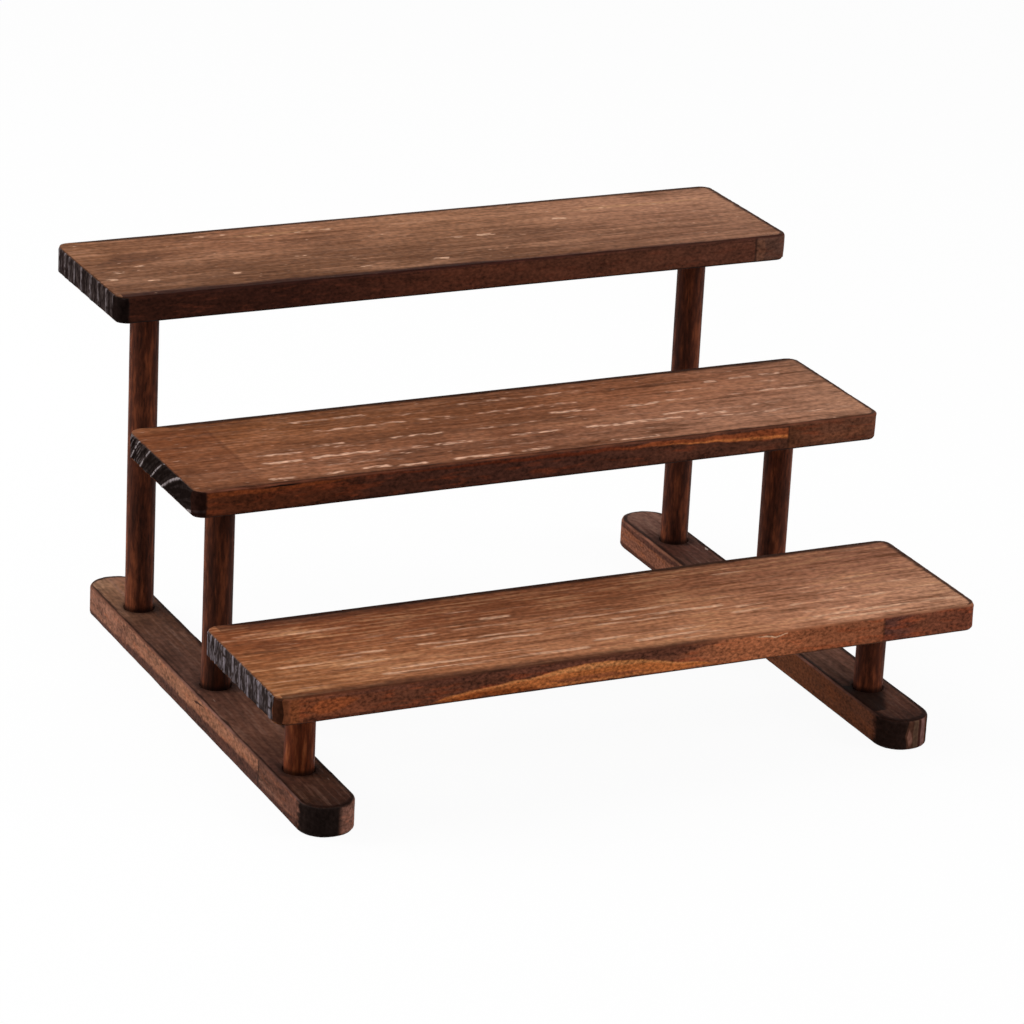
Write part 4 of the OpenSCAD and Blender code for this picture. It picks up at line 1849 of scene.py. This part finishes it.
# The left rail, which is charred at its front end alone, as the right one is
LEFT_RAIL = BaseRail(
    Side.LEFT,
    GrainPlan(pith_y=60, pith_z=-80, rings=(92, 96.5, 102, 107, 112), sway=3.5, seed=2.2,
              start=-164.0, seams=(-97.5,)),
    PlankLook(
        top_front=((-164, "#3b2118"), (-146, "#4c2c20"), (-110, "#694330"), (-80, "#7c503d"),
                   (0, "#603e31"), (90, "#573829"), (125, "#613e2e"), (145, "#8a5b42"),
                   (164, "#855843")),
        top_back=((-164, "#351e16"), (-146, "#422619"), (-110, "#5e3b30"), (-80, "#6f4838"),
                  (0, "#5b3b30"), (90, "#593a2c"), (138, "#946a50"), (152, "#9c7459"),
                  (164, "#8a6650")),
        top_dark="#38231b", top_light="#886454", fleck="#a08272",
        side_run=((-164, "#8b5f50"), (-151, "#8b5f50"), (-147, "#643f32"), (-97.7, "#634032"),
                  (-97.3, "#93624b"), (0, "#93634a"), (100, "#8a5d49"), (164, "#7f5645")),
        ember="#9a5638", mark=12.0, stray=0.78, streaky=0.5, speckled=2.4,
        side_patches=(
            Patch(((-97.3, -19, -6.4), (-67, -19, -7.4), (-15, -19, -8.4), (38, -19, -8.6),
                   (85, -19, -9.8), (100, -19, -11.6), (162, -19, -13.2), (164, -18, -16)),
                  "#472b24", 0.92, 2.2),
            Patch(((-149, -19, -11), (-120, -19, -12), (-98, -19, -11)), "#482c24", 0.85, 2.5),
            Patch(((95, -19, -2), (103, -19, -2), (108, -19, -2), (112, -10, -10)),
                  "#5d3a2e", 0.45, 4.0),
            Patch(((125, -10, -9.6), (133, -11, -5), (139, -8, -4), (143, -6, -5.6)),
                  "#5d3a2e", 0.5, 2.0),
            Patch(((-25, -2.4, -1.9), (-16, -3.8, -2.4), (-10, -5.4, -3.0), (-5, -4.6, -4.4)),
                  "#311b14", 0.95, 0.6),
            Patch(((-150, -12, -10.6), (-125, -12.4, -9.6), (-99, -12.2, -9.8)), "#8d6250", 0.5),
        ),
        char="#261c19", ash="#40302b", ashen=(0.04, 0.04), proud=0.0, burn=(3.5, 2.6, 3.5, 4.5),
        arris_run=((-164, "#1c1310"), (-155, "#261915"), (-146, "#65463e"), (-95, "#66453a"),
                   (-30, "#7d564b"), (25, "#6c483c"), (80, "#5f3b2e"), (140, "#6a4435")),
        arris_side=1.0, seam=0.8, char_left=18.0, char_right=-9.0, char_from=-3.0, char_soft=7.0,
    ),
)

# The right rail, with a pale scratch by its rear post and a painted shadow in front of its front
# one
RIGHT_RAIL = BaseRail(
    Side.RIGHT,
    GrainPlan(pith_y=55, pith_z=-70, rings=(80, 85.5, 91, 96, 101), sway=3.5, seed=6.4,
              start=-164.0),
    PlankLook(
        top_front=((-164, "#4c2e25"), (-145, "#694234"), (-80, "#875c4b"), (60, "#604034"),
                   (100, "#5e3a30"), (164, "#7a5649")),
        top_back=((-164, "#442b24"), (-145, "#5d3d31"), (-80, "#795545"), (60, "#5a3c31"),
                  (100, "#512f25"), (164, "#725145")),
        top_dark="#3a251e", top_light="#8a6757", fleck="#a08272",
        top_patches=(
            Patch(((93, -12, -11.6), (95, -13.4, -10.8), (99, -12.6, -12.2)), "#d9c9bd", 0.8, 0.6),
            # A painted shadow in front of the front post's foot
            Patch(((-146, 4, 16), (-138, 0, 17), (-126, -7, 17), (-116, -4, 17), (-110, 8, 16)),
                  "#0e0706", 0.85, 5.0),
        ),
        side_run=((-164, "#855443"), (-151, "#855443"), (-147, "#764630"), (-60, "#7e4a30"),
                  (60, "#7f4f3b"), (164, "#835340")),
        ember="#9a5530", mark=12.0, stray=0.78, streaky=0.5, speckled=2.4,
        side_patches=(
            Patch(((60, -4.4, -0.5), (110, -5, -0.5), (163, -4.4, -0.5)), "#4a2c24", 0.8),
            Patch(((60, -17, -12.4), (110, -17, -12.8), (163, -17, -13)), "#47291f", 0.85),
        ),
        end_patches=(
            Patch(((-18, -24, 4), (1.2, -24, 4), (3.8, -9, -8)), "#5a3a2d", 0.95, 2.0),
            Patch(((-0.6, -14, -10), (0.4, -15.5, -6), (1.6, -15.5, -4), (2.4, -12, -7)),
                  "#a97564", 0.55, 2.4),
            Patch(((-4, -24, 4), (-1.4, -24, 4), (-0.7, -9, -8)), "#6b5342", 0.55, 1.6),
            Patch(((-5.7, -24, 4), (-4.5, -24, 4), (-4, -9, -8)), "#3b1f1c", 0.7, 1.0),
            Patch(((-8.8, -24, 4), (-6.3, -24, 4), (-5.8, -9, -8)), "#8f6862", 0.65, 1.4),
            Patch(((-18, -24, 4), (-10.8, -24, 4), (-10.2, -9, -8)), "#2a1a17", 0.8, 1.0),
        ),
        char="#31211c", ash="#40302b", ashen=(0.04, 0.04), proud=0.0, burn=(4.0, 4.0, 4.5, 3.0),
        arris_run=((-164, "#201511"), (-155, "#2f1e19"), (-146, "#795144"), (-105, "#825c4f"),
                   (-75, "#a17061"), (75, "#80543f"), (140, "#845747")),
        arris_side=1.0, seam=0.8, char_left=18.0, char_right=-9.0, char_soft=7.0,
    ),
)


@dataclass
class DisplayRiser:
    """The whole riser, from its boards down to its screws.

    Attributes:
        planks: its boards, from the lowest up, and its two rails.
        post_tones: stain of the posts that differ from the rest, from dark to light.
        screws: what holds it together.
    """

    planks: tuple[ShelfBoard | BaseRail, ...] = (
        LOW_BOARD, MIDDLE_BOARD, HIGH_BOARD, LEFT_RAIL, RIGHT_RAIL,
    )
    post_tones: dict[tuple[Tier, Side], tuple[str, str, str]] = field(default_factory=lambda: {
        (Tier.LOW, Side.LEFT): ("#37190e", "#6c321b", "#9d5632"),
        (Tier.MIDDLE, Side.LEFT): ("#29140d", "#492417", "#763e26"),
        (Tier.HIGH, Side.RIGHT): ("#2a140e", "#4d2619", "#7d4229"),
        (Tier.LOW, Side.RIGHT): ("#311811", "#582c1d", "#904d31"),
    })
    screws: Screws = field(default_factory=Screws)

    def posts(self) -> list[Post]:
        """Returns the six posts, each with a seed and a stain of its own."""
        posts = []
        for tier_place, tier in enumerate(Tier):
            for side_place, side in enumerate(Side):
                post = Post(tier, side, seed=3.1 * tier_place + 7.7 * side_place + 1)
                post.tones = self.post_tones.get((tier, side), post.tones)
                posts.append(post)
        return posts

    def build(self) -> None:
        """Builds and reports every piece."""
        for part in [*self.planks, *self.posts()]:
            piece = part.build()
            LOG.info("%s: %d faces", piece.name, len(piece.data.polygons))
        LOG.info("%d screws dressed", self.screws.dress())


def main() -> None:
    """Builds the riser and its studio."""
    logging.basicConfig(level=logging.INFO, format="%(name)s %(message)s")
    Studio().build()
    DisplayRiser().build()


if __name__ == "__main__":
    main()
